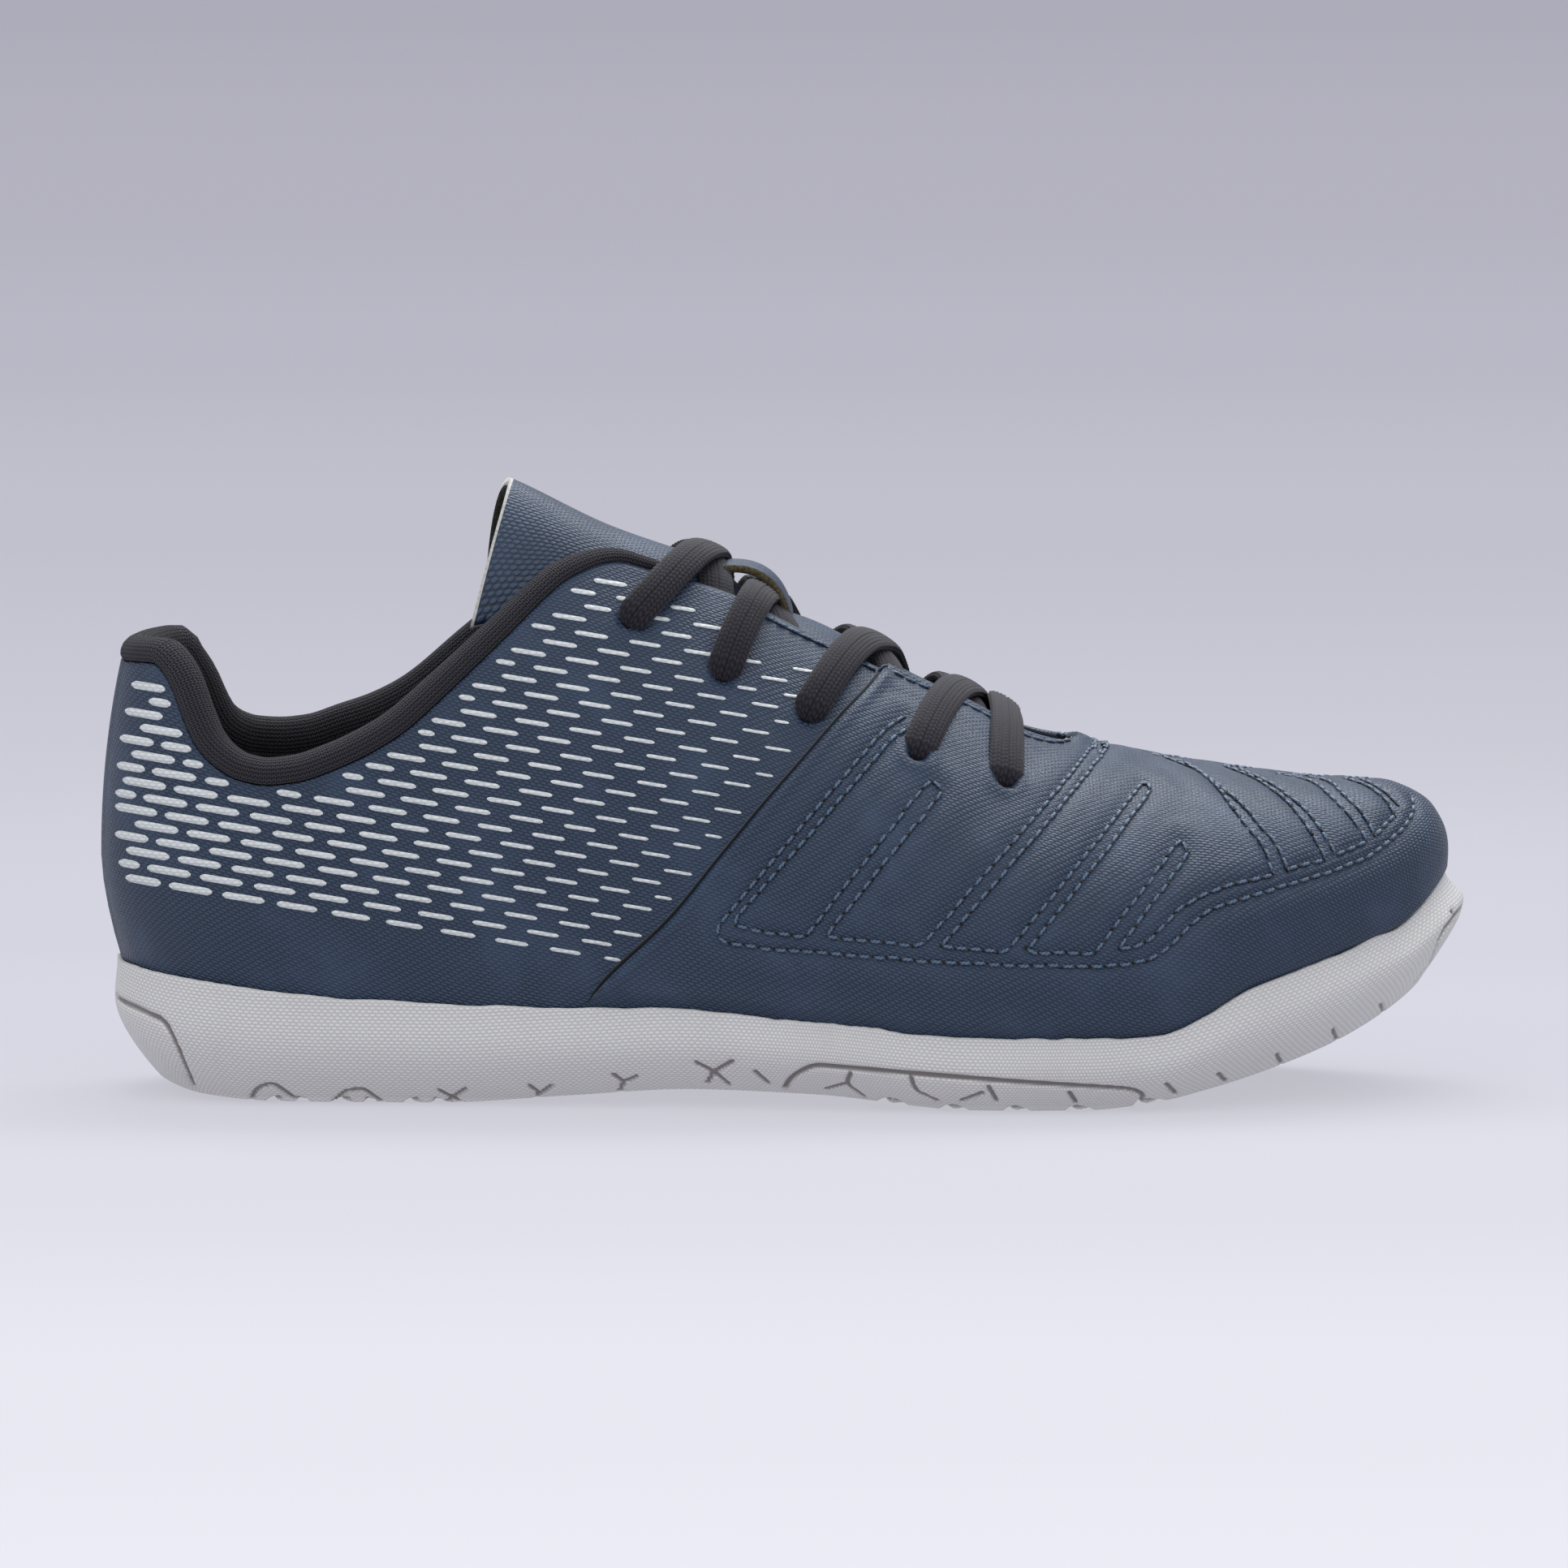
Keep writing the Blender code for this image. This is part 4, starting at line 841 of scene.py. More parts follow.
def makeVampSkin():
    n = vamp["stations"]
    reach = max(seamFoot(-1), seamFoot(1))  # the same stations on both sides, so that they meet on the ridge
    lateral = np.linspace(0, 1, n + 1) * reach
    medial = np.linspace(1, 0, n + 1)[:-1] * reach
    f = np.concatenate([medial, lateral])
    side = np.concatenate([np.ones(n), -np.ones(n + 1)])
    c = columnsOf(f, side)
    edge = np.minimum(topEdge(c), seamEdge(c))
    share = np.linspace(0, 1, vamp["rows"])
    v = vamp["start"] + (np.maximum(edge, vamp["start"] + 0.004)[:, None] - vamp["start"]) * share
    points = lastPoints(c, v)
    return sheetFrom(points, placeOn(c, v), False)


def holeSpot(row, side):
    # Station and row of a lace hole on the last
    along, height = laceHoles[row]
    x, z = xOf(along), height * last["instep"]
    low, high = 0.0, 1.0
    for _ in range(40):
        middle = (low + high) / 2
        c = columnsOf(np.array([middle]), side)
        v = firstCrossing(c, lambda p: p[..., 2] - z, widestAt)
        if lastPoints(c, v[:, None])[0, 0, 0] - shift[0] > x:
            low = middle
        else:
            high = middle
    c = columnsOf(np.array([middle]), side)
    v = firstCrossing(c, lambda p: p[..., 2] - z, widestAt)[0]
    return middle, v


def lastNormal(f, side, v):
    step = 0.003
    stations = np.array([max(0.0, f - step), min(1.0, f + step)])
    around = lastPoints(columnsOf(stations, side), np.array([[v], [v]]))
    heights = np.array([[max(0.0, v - step), min(1.0, v + step)]])
    upright = lastPoints(columnsOf(np.array([f]), side), heights)
    normal = np.cross(around[1, 0] - around[0, 0], upright[0, 1] - upright[0, 0]) * side
    return normal / np.linalg.norm(normal)


def spotOn(f, side, v):
    return lastPoints(columnsOf(np.array([f]), side), np.array([[v]]))[0, 0]


holes = {(row, side): holeSpot(row, side) for row in range(len(laceHoles)) for side in (-1, 1)}

quarterSkin = makeQuarters()
vampSkin = makeVampSkin()
for (row, side), (f, v) in holes.items():
    centre, axis = spotOn(f, side, v), lastNormal(f, side, v)
    punch(quarterSkin, centre, axis)
    if row >= 2:
        punch(vampSkin, centre, axis)
quarterSkin.normal_update()
vampSkin.normal_update()
quarterTree = BVHTree.FromBMesh(quarterSkin)
vampTree = BVHTree.FromBMesh(vampSkin)
print("skins laid out")

# Stitch lines in pixels of the photograph
stitchLines = {
    "outer": [(1110, 890), (1085, 905), (990, 1015), (882, 1143), (895, 1158), (940, 1164), (1019, 1170),
              (1179, 1183), (1353, 1187), (1403, 1180), (1426, 1166), (1457, 1136), (1480, 1120),
              (1518, 1107), (1633, 1074), (1672, 1059), (1704, 1038), (1724, 1021), (1736, 1003), (1734, 990)],
    "comb": [(1113, 905), (1096, 915), (1000, 1025), (902, 1135), (940, 1145), (992, 1151),
             (1134, 973), (1144, 966), (1157, 979), (1016, 1151), (1131, 1162),
             (1350, 919), (1363, 927), (1153, 1164), (1233, 1170),
             (1404, 967), (1413, 979), (1255, 1170), (1338, 1172),
             (1446, 1037), (1455, 1055), (1365, 1168), (1392, 1164), (1415, 1147), (1441, 1120),
             (1472, 1103), (1510, 1090), (1556, 1080)],
}

# Rows that cross over the toe: pixels up to the ridge, where they turn to the other side
toeRows = [
    [(1572, 1074), (1561, 1047), (1538, 1018), (1509, 986), (1472, 958), (1432, 935)],
    [(1556, 1080), (1549, 1058), (1523, 1018), (1495, 980), (1457, 949), (1417, 931)],
    [(1634, 1057), (1621, 1032), (1601, 1006), (1575, 983), (1526, 948)],
    [(1620, 1062), (1612, 1044), (1595, 1015), (1572, 989), (1543, 968), (1509, 945)],
    [(1684, 1034), (1670, 1009), (1650, 986), (1624, 968), (1590, 955)],
    [(1673, 1041), (1658, 1015), (1635, 989), (1607, 969), (1572, 952)],
    [(1716, 998), (1698, 980), (1677, 963)],
    [(1711, 1010), (1698, 989), (1681, 976), (1658, 961)],
]
toeLinks = [[(1572, 1074), (1620, 1062)], [(1634, 1057), (1673, 1041)], [(1684, 1034), (1711, 1010)]]
edgeRow = {"below": 0.0026, "from": 0.405, "to": 0.706}


def crossToe(pixels):
    # The row's place in plan, carried over the ridge and dropped on the skin from above
    spots = [castAt(px, py, -1, vampTree)[0] for px, py in pixels[:-1]]
    ridge = (pixels[-1][0] - photo["middleX"]) * photo["pixel"]
    middle = float(ridgeSide(alongOf(ridge - shift[0]))) + shift[1]
    ys = [p.y for p in spots] + [middle] + [2 * middle - p.y for p in reversed(spots)]
    xs = [p.x for p in spots] + [ridge] + [p.x for p in reversed(spots)]
    order = np.argsort(ys)
    across = np.linspace(min(ys), max(ys), 90)
    plan = smooth(np.array(ys)[order], np.array(xs)[order])(across)
    found = [vampTree.ray_cast(Vector((x, y, 0.2)), Vector((0, 0, -1))) for x, y in zip(plan, across)]
    return np.array([f[0] for f in found if f[0] is not None])


def alongEdge(side):
    # A row that keeps its distance from the throat's edge
    f = np.linspace(0.02, 0.6, 420)
    c = columnsOf(f, side + 0 * f)
    edge = topEdge(c)
    ridge = alongOf(c["ridgeX"])
    keep = (edge < 0.9999) & (ridge > edgeRow["from"]) & (ridge < edgeRow["to"])
    v = np.linspace(0, 1, 60)[None, :] * (edge - 0.35)[:, None] + 0.35
    points = lastPoints(c, v)
    steps = np.linalg.norm(np.diff(points, axis=1), axis=2)
    left = np.concatenate([np.cumsum(steps[:, ::-1], 1)[:, ::-1], np.zeros((len(f), 1))], 1)
    spots = []
    for i in np.flatnonzero(keep):
        spots.append([np.interp(-edgeRow["below"], -left[i], points[i, :, k]) for k in range(3)])
    return np.array(spots)


def laidLines():
    laid = []
    for pixels in [*stitchLines.values(), *toeLinks]:
        for side in (-1, 1):
            laid.append(layLine(pixels, side, vampTree))
    laid += [crossToe(pixels) for pixels in toeRows]
    laid.append(np.concatenate([alongEdge(-1)[::-1], alongEdge(1)]))
    return laid


rows = laidLines()
vampLines = np.concatenate(rows)

# Creases: pixel ends of each fold on the lateral side, its half width and depth in mm
creases = [
    ((1236, 985), (1180, 1140), 5.0, 0.35),
    ((1330, 950), (1262, 1120), 6.0, -0.25),
    ((1392, 960), (1330, 1130), 6.0, 0.25),
    ((1010, 1190), (1060, 1240), 7.0, 0.30),
]


def creaseDepth(co, tree, lines):
    depth = np.zeros(len(co))
    for start, end, width, deep in lines:
        for side in (-1, 1):
            d = distanceTo(co, layLine([start, end], side, tree, step=6.0)) / mm
            depth -= deep * mm * np.exp(-(d / width) ** 2)
    return depth


def edgeBead(skin, co, place, size, width):
    # A folded edge stands a little proud, and falls off to the cut
    rim = np.array([v.is_boundary for v in skin.verts])
    d = distanceTo(co, co[rim & (place[:, 2] > 0.16)]) / mm
    return size * mm * (np.exp(-((d - width) / width) ** 2) - 1.2 * np.exp(-(d / (0.45 * width)) ** 2))


def finishVamp():
    co, normal, place = arraysOf(vampSkin)
    d = distanceTo(co, vampLines) / mm
    pulled = -vamp["pull"] * mm * np.exp(-(d / vamp["pullWide"]) ** 2)
    puffed = vamp["puff"] * mm * np.exp(-((d - vamp["puffFrom"]) / vamp["puffWide"]) ** 2)
    tucked = ease((place[:, 2] - 0.118) / 0.03)
    shape = pulled + puffed + creaseDepth(co, vampTree, creases)
    shape = shape + edgeBead(vampSkin, co, place, *vamp["edgeBead"])
    inner = np.full(len(co), vamp["lift"])
    outer = inner + 0.0001 + vamp["thickness"] * tucked + np.maximum(shape, -0.6 * mm) * tucked
    # The rim takes the near black cut edge: painted shade along the seam
    made = thicken("vampPanel", vampSkin, outer, inner, [navySkin, backSkin, seamShadeSkin])
    return made, co + normal * outer[:, None]


def outerTree(points, skin):
    return BVHTree.FromPolygons(points.tolist(), [[v.index for v in face.verts] for face in skin.faces])


vampPanel, vampFace = finishVamp()
vampOuter = outerTree(vampFace, vampSkin)
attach(vampPanel, "root")
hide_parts("vamp")


def makeSeamShadowCord():
    # A dark cord at the foot of the vamp's side seam: a painted shadow of the gap under the vamp's edge
    points, faces = [], []
    for side in (-1, 1):
        f = np.linspace(0.25, seamFoot(side), 500)
        c = columnsOf(f, side + 0 * f)
        v = seamEdge(c)
        keep = (v < topEdge(c) - 0.003) & (v > vamp["foot"])
        path = evenly(lastPoints(c, v[:, None])[keep, 0], 0.0010)
        way = unit(np.gradient(path, axis=0))
        found = [quarterTree.find_nearest(Vector(p)) for p in path]
        ups = np.array([spot[1][:] for spot in found])
        outs = np.cross(way, ups)
        outs *= np.sign(-outs[:, 0])[:, None]
        turn = np.arange(8) * math.pi / 4
        count = np.arange(len(path))
        size = vamp["shadowCord"] * np.sqrt(ease(np.minimum(count, count[::-1]) / 6) + 0.02)
        ring = np.cos(turn)[None, :, None] * outs[:, None, :] + np.sin(turn)[None, :, None] * ups[:, None, :]
        middle = path + outs * vamp["shadowCordOut"] + ups * vamp["shadowCordUp"]
        rings = middle[:, None, :] + ring * size[:, None, None]
        faces += tubeFaces(sum(len(p) for p in points), len(path), 8)
        points.append(rings.reshape(-1, 3))
    return meshFrom("seamShadowCord", np.concatenate(points), faces, [shadeSkin])


seamShadowCord = makeSeamShadowCord()
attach(seamShadowCord, "root")


def finishQuarters():
    co, normal, place = arraysOf(quarterSkin)
    along = alongOf(co[:, 0] - shift[0])
    side = np.where(co[:, 1] < shift[1], -1, 1)
    edge = collarHeight(along) + np.where(side > 0, medialRise(along), 0)
    below = (edge - co[:, 2]) / mm
    inner = -last["wall"] + 0 * co[:, 0]
    outer = np.zeros(len(co))
    hollow = (1 - ease(np.abs(along - 0.27) / 0.10)) * (1 - ease(np.abs(below - 24) / 20))
    outer -= quarters["hollow"] * mm * hollow
    outer += edgeBead(quarterSkin, co, place, *quarters["edgeBead"]) * ease((along - 0.34) / 0.05)
    fromMiddle = np.abs(co[:, 1] - shift[1]) / mm - quarters["stripHalf"]
    outer += quarters["strip"] * mm * (1 - ease(fromMiddle / 1.6)) * (along < 0.08)
    ripple = np.sin(place[:, 0] * 0.42) * np.sin(place[:, 0] * 0.171 + 1.3)
    nearSole = 1 - ease((place[:, 2] - 0.125) / 0.05)
    outer += quarters["ripple"] * mm * ripple * nearSole
    made = thicken("quarters", quarterSkin, outer, inner, [navySkin, liningSkin, navySkin])
    return made, co + normal * outer[:, None]


quarterPiece, quarterFace = finishQuarters()
quarterOuter = outerTree(quarterFace, quarterSkin)
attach(quarterPiece, "root")
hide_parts("upper")
print("upper made")


# Thread: each stitch is a short twisted length that dips into a needle hole at both ends
thread = {
    "pitch": 0.0030,
    "length": 0.0028,
    "radius": 0.00044,
    "rise": 0.00020,
    "rings": 9,
    "sides": 7,
    "twist": 5.0,
    "ply": 0.16,
    "reach": 0.0022,
    "pitLong": 0.00085,
    "pitWide": 0.00052,
}


def stitchRows():
    spots, ways, ups = [], [], []
    for points in rows:
        path = evenly(points, thread["pitch"])
        marks = (path[1:] + path[:-1]) / 2
        way = path[1:] - path[:-1]
        size = np.linalg.norm(way, axis=1)
        good = size > thread["pitch"] * 0.5
        for p, w in zip(marks[good], (way / size[:, None])[good]):
            spot, normal, index, distance = vampOuter.find_nearest(Vector(p))
            if distance > thread["reach"]:
                spot, normal, index, distance = quarterOuter.find_nearest(Vector(p))
            spots.append(spot[:])
            ups.append(normal[:])
            ways.append(w)
    return np.array(spots), np.array(ways), np.array(ups)


def makeThread():
    spots, ways, ups = stitchRows()
    ways = unit(ways - ups * (ways * ups).sum(1)[:, None])
    across = np.cross(ways, ups)
    rings, sides = thread["rings"], thread["sides"]
    t = np.linspace(-1, 1, rings)
    turn = np.arange(sides) * 2 * math.pi / sides
    size = thread["radius"] * np.sqrt(np.maximum(1 - t ** 6 * 0.8, 0))
    ply = 1 + thread["ply"] * np.cos(2 * (turn[None, :] - thread["twist"] * t[:, None]))
    out = size[:, None] * ply
    rise = thread["rise"] * (1 - 1.9 * np.abs(t) ** 3)
    points = (
        spots[:, None, None, :]
        + ways[:, None, None, :] * (t * thread["length"] / 2)[None, :, None, None]
        + ups[:, None, None, :] * (rise[:, None] + out * np.sin(turn)[None, :])[None, :, :, None]
        + across[:, None, None, :] * (out * np.cos(turn)[None, :])[None, :, :, None]
    )
    faces = []
    for s in range(len(spots)):
        faces += tubeFaces(s * rings * sides, rings, sides)
    # crown paints the thread's top and ply ridges light and its sides and ends dark, as highlight and shade
    onTop = np.sin(turn)[None, :] * (1 - 0.8 * t[:, None] ** 4)
    crown = np.clip(onTop + 0.30 * (ply - 1) / thread["ply"], 0, 1)
    crown = np.repeat(crown[None], len(spots), 0)
    made = meshFrom("stitchThread", points, faces, [threadSkin], extras={"crown": crown})
    ends = np.concatenate([spots - ways * thread["pitch"] / 2, spots[-1:] + ways[-1:] * thread["pitch"] / 2])
    pits = pitsAt(ends, np.concatenate([ups, ups[-1:]]), np.concatenate([ways, ways[-1:]]))
    return made, pits


def pitsAt(spots, ups, ways):
    # Dents where the needle went in, coloured near black as painted shade, and wide enough to paint a shadow round
    # the thread's ends
    across = np.cross(ways, ups)
    turn = np.arange(8) * math.pi / 4
    rim = ways[:, None, :] * np.cos(turn)[None, :, None] * thread["pitLong"]
    rim = rim + across[:, None, :] * np.sin(turn)[None, :, None] * thread["pitWide"]
    top = spots[:, None, :] + rim + ups[:, None, :] * 0.00006
    low = spots[:, None, :] + rim * 0.6 - ups[:, None, :] * 0.0002
    points = np.concatenate([top, low], 1)
    faces = []
    for s in range(len(spots)):
        faces += tubeFaces(s * 16, 2, 8)
    return meshFrom("needleHoles", points, faces, [shadeSkin])


stitchThread, needleHoles = makeThread()
for piece in (stitchThread, needleHoles):
    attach(piece, "root")
print("stitches made")


# Print on the quarters: broken lengthwise stripes that grow short and thin towards the toe
hatch = {
    "lines": 44,
    "bars": (-6, 18),
    "step": 16.0,
    "row": 66.0,
    "holeClear": 24,
    "slope": math.radians(9.4),
    "drift": 0.35,
    "widest": 5.0,
    "thinnest": 1.5,
    "start": (80, 1168),
    "clear": [(776, 767), (890, 832), (993, 882)],
    "height": 0.00011,
    "field": [
        (176, 818), (194, 818), (208, 842), (223, 879), (239, 917), (265, 950), (298, 970), (337, 977),
        (379, 972), (422, 958), (467, 938), (512, 909), (550, 877), (583, 848), (613, 818), (666, 764),
        (689, 742), (709, 727), (731, 716), (768, 721), (832, 746), (888, 766), (940, 822), (985, 813),
        (1058, 830), (1022, 874), (972, 933), (930, 983), (876, 1048), (815, 1124), (768, 1180),
        (742, 1184), (600, 1165), (450, 1141), (300, 1118), (200, 1100), (168, 1092), (152, 1066),
        (146, 1020), (147, 960), (153, 905), (165, 850),
    ],
}


def insideField(p):
    field = hatch["field"]
    inside = False
    for (x1, y1), (x2, y2) in zip(field, field[1:] + field[:1]):
        if (y1 > p[1]) != (y2 > p[1]) and p[0] < (x2 - x1) * (p[1] - y1) / (y2 - y1) + x1:
            inside = not inside
    return inside


def barsOfHatch():
    # Ends and half width of every bar, in pixels
    lean = np.array([math.cos(hatch["slope"]), math.sin(hatch["slope"])])
    base = np.array([hatch["drift"], -1.0])
    bars = []
    knots = [np.array(p) for p in hatch["clear"]]
    for i in range(hatch["lines"]):
        for j in range(*hatch["bars"]):
            middle = np.array(hatch["start"]) + base * i * hatch["step"]
            middle = middle + lean * (j + 0.5 * (i % 2)) * hatch["row"]
            fade = np.clip((middle[0] - 210 + 0.30 * (middle[1] - 950)) / 780, 0, 1)
            half = hatch["row"] * (0.43 - 0.20 * fade)
            wide = hatch["widest"] + (hatch["thinnest"] - hatch["widest"]) * fade ** 0.75
            spots = [middle + lean * half * t for t in np.linspace(-1, 1, 61)]
            far = [min(np.linalg.norm(p - k) for k in knots) > hatch["holeClear"] for p in spots]
            clear = [insideField(p) and free for p, free in zip(spots, far)]
            runs, first = [], None
            for k, free in enumerate(clear + [False]):
                if free and first is None:
                    first = k
                elif not free and first is not None:
                    runs.append((k - first, first, k - 1))
                    first = None
            if runs and max(runs)[0] > 26:
                size, first, end = max(runs)
                bars.append((np.array([spots[first], spots[end]]), wide))
    return bars


def layBar(path, wide, side, first):
    # A thin slab on the skin under a line drawn in pixels
    fine = evenly(path, 1.0)
    reach = len(fine) - 1
    ends = [0, min(1, reach // 4), min(3, reach // 3), min(5, reach // 2)]
    marks = sorted(set(ends + [reach - k for k in ends] + list(range(8, max(8, reach - 6), 5))))
    path = fine[marks]
    steps = len(path)
    way = unit(np.gradient(path, axis=0))
    top, low = [], []
    for k, (p, w) in enumerate(zip(path, way)):
        near = min(marks[k], reach - marks[k]) / (wide + 1)
        taper = math.sqrt(max(0.12, min(1.0, near)))
        for j in (-1, 0, 1):
            px, py = p + np.array([-w[1], w[0]]) * j * wide * taper
            spot, normal = castAt(px, py, side, quarterOuter)
            top.append(np.array(spot) + np.array(normal) * hatch["height"])
            low.append(np.array(spot) - np.array(normal) * hatch["height"])
    under = first + 3 * steps
    faces = []
    for k in range(steps - 1):
        for j in (0, 1):
            a = first + k * 3 + j
            faces.append([a, a + 3, a + 4, a + 1])
            faces.append([i + 3 * steps for i in (a, a + 1, a + 4, a + 3)])
        a, b = first + k * 3, under + k * 3
        faces.append([a + 3, a, b, b + 3])
        faces.append([a + 2, a + 5, b + 5, b + 2])
    for a, b in ((first, under), (first + 3 * steps - 3, under + 3 * steps - 3)):
        faces.append([a, a + 1, a + 2, b + 2, b + 1, b])
    return top + low, faces


def makeHatch():
    points, faces = [], []
    bars = barsOfHatch()
    for side in (-1, 1):
        for path, wide in bars:
            some, sides = layBar(path, wide, side, len(points))
            # A view over the collar lands on the far wall
            if min((p[1] - shift[1]) * side for p in some) > 0:
                faces += sides
                points += some
    points = np.array(points)
    return meshFrom("quarterPrint", points, faces, [inkSkin], points[:, [0, 2, 1]] / mm)


quarterPrint = makeHatch()
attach(quarterPrint, "root")
print("print laid on")


# Sole: cup wall with lip, inserts, sipes and a lugged tread
sole = {
    "stations": 550,
    "wallRows": 40,
    "treadRows": 26,
    "lineWidth": 0.0009,
    "lineDepth": 0.0009,
    "sipeWidth": 0.0008,
    "sipeDepth": 0.0007,
    "lugWidth": 0.0014,
    "lugDepth": 0.0013,
    "flash": 0.00035,
    "inserts": [
        [(136, 1226), (175, 1241), (203, 1252), (213, 1262), (230, 1300), (242, 1334)],
        [(1806, 1112), (1786, 1133), (1772, 1150), (1764, 1170), (1755, 1200), (1750, 1217)],
        [(966, 1336), (974, 1322), (1000, 1307), (1100, 1315), (1250, 1327), (1385, 1336), (1402, 1344),
         (1396, 1354)],
    ],
    "sipes": [
        [(314, 1352), (322, 1338), (342, 1331), (368, 1350)], [(415, 1355), (430, 1341), (452, 1338), (478, 1357)],
        [(545, 1340), (577, 1358)], [(577, 1338), (548, 1358)], [(655, 1334), (668, 1344), (660, 1352)],
        [(682, 1334), (668, 1344)], [(758, 1320), (770, 1330), (786, 1322)], [(770, 1330), (764, 1343)],
        [(858, 1305), (880, 1316), (872, 1330)], [(902, 1303), (880, 1316), (898, 1332)], [(930, 1316), (946, 1330)],
        [(1045, 1318), (1040, 1330), (1062, 1346)], [(1016, 1337), (1040, 1330)],
        [(1118, 1322), (1124, 1338), (1150, 1350)], [(1212, 1333), (1222, 1350)],
        [(1205, 1340), (1180, 1350)], [(1310, 1340), (1318, 1352)], [(1428, 1330), (1440, 1342)],
        [(1492, 1318), (1502, 1328)], [(1565, 1296), (1572, 1308)], [(1635, 1266), (1642, 1280)],
        [(1695, 1236), (1702, 1248)],
    ],
}
# Along at the middle, slant to the sides
lugLines = [(0.110, 0.030), (0.160, 0.030), (0.210, 0.030), (0.600, -0.030), (0.645, -0.030),
            (0.690, -0.030), (0.735, -0.030), (0.785, -0.030)]


def soleWall(c, height):
    along = alongOf(c["x"])[:, None]
    height = np.asarray(height, float)[None, :] + 0 * along
    full = lipInset(along) * ease((height - 0.62) / 0.38)
    edge = last["soleEdgeRound"] * np.maximum(0, 1 - height / 0.62) ** 2.2
    inset = full + edge
    x = c["x"][:, None] - c["nx"][:, None] * inset
    y = c["y"][:, None] - c["ny"][:, None] * inset
    floor = floorAt(alongOf(x))
    return np.stack([x, y, floor + (c["lip"][:, None] - floor) * height], -1) + shift


def soleGrid():
    f, side = allRound(sole["stations"])
    c = columnsOf(f, side)
    wall = soleWall(c, np.linspace(0, 1, sole["wallRows"]) ** 1.15)
    other = columnsOf(f, -side)
    foot = wall[:, 0]
    across = soleWall(other, [0.0])[:, 0]
    middle = (foot + across) / 2
    share = np.linspace(0, 1, sole["treadRows"] + 1)[1:]
    tread = foot[:, None, :] + (middle - foot)[:, None, :] * share[None, :, None]
    tread[..., 2] = floorAt(alongOf(tread[..., 0] - shift[0]))
    inside = lastPoints(c, np.repeat(np.array([[lipAt, 0.10, 0.07]]), len(f), 0))
    inside[..., 0] += c["nx"][:, None] * last["gap"] * 0.3
    inside[..., 1] += c["ny"][:, None] * last["gap"] * 0.3
    steps = np.tile(seed.normal(0, 1, len(f)), 3)
    slow = np.convolve(steps, np.hanning(25) / 5, "same")[len(f):2 * len(f)]
    quick = np.convolve(steps, np.hanning(7) / 3, "same")[len(f):2 * len(f)]
    ragged = sole["flash"] * (slow * 0.55 + quick * 0.25)
    wall[:, -1, 2] += ragged
    wall[:, -2, 2] += ragged * 0.5
    inside[:, 0, 2] += ragged * 0.8
    crown = (wall[:, -1] + inside[:, 0]) / 2
    crown[:, 2] += 0.0002
    points = np.concatenate([tread[:, ::-1], wall, crown[:, None], inside], 1)
    steps = np.linalg.norm(np.diff(points, axis=1), axis=2)
    up = np.concatenate([np.zeros((len(f), 1)), np.cumsum(steps, 1)], 1)
    up = up - up[:, sole["treadRows"]][:, None]
    way = c["f"] * (wayRound[-1][3][-1] + wayRound[1][3][-1]) / 2
    place = np.stack([np.repeat(way[:, None], points.shape[1], 1) / mm, up / mm, 0 * up], -1)
    return points, place


def makeSole():
    points, place = soleGrid()
    skin = sheetFrom(points, place, True)
    tree = BVHTree.FromBMesh(skin)
    inserts, sipes = [], []
    for side in (-1, 1):
        for line in sole["inserts"][:2]:
            inserts.append(layLine(line, side, tree, 10, 1.5))
        for line in sole["sipes"]:
            sipes.append(layLine(line, side, tree, 6, 1.5))
    inserts.append(layLine(sole["inserts"][2], -1, tree, 12, 1.5))
    lugs = []
    for along, slant in lugLines:
        share = np.linspace(-1, 1, 140)
        x = xOf(along) + slant * last["length"] * np.abs(share)
        edge = np.where(share < 0, np.abs(outlineY(x, -1)), np.abs(outlineY(x, 1)))
        for bend in (-0.012, 0.012):
            bx = x + bend * last["length"] * np.cos(share * 9)
            lugs.append(np.stack([bx, share * edge, floorAt(alongOf(bx))], 1) + shift)
    co, normal, place = arraysOf(skin)
    depth = np.zeros(len(co))
    groove = np.zeros(len(co))
    for lines, kind in ((inserts, "line"), (sipes, "sipe"), (lugs, "lug")):
        d = distanceTo(co, np.concatenate(lines))
        cutIn = np.exp(-(d / (sole[kind + "Width"] * 0.75)) ** 4)
        depth = np.maximum(depth, cutIn * sole[kind + "Depth"])
        groove = np.maximum(groove, cutIn)
    points = co - normal * depth[:, None]
    faces = [[v.index for v in face.verts] for face in skin.faces]
    made = meshFrom("cupSole", points, faces, [soleSkin], place, {"groove": groove})
    skin.free()
    return made


cupSole = makeSole()
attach(cupSole, "root")
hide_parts("sole")
print("sole made")


# Insole: a soft sock inside the cup
insole = {"thickness": 0.0035, "stations": 150, "rows": 14, "edgeRound": 0.0008, "edgeRise": 0.0022}


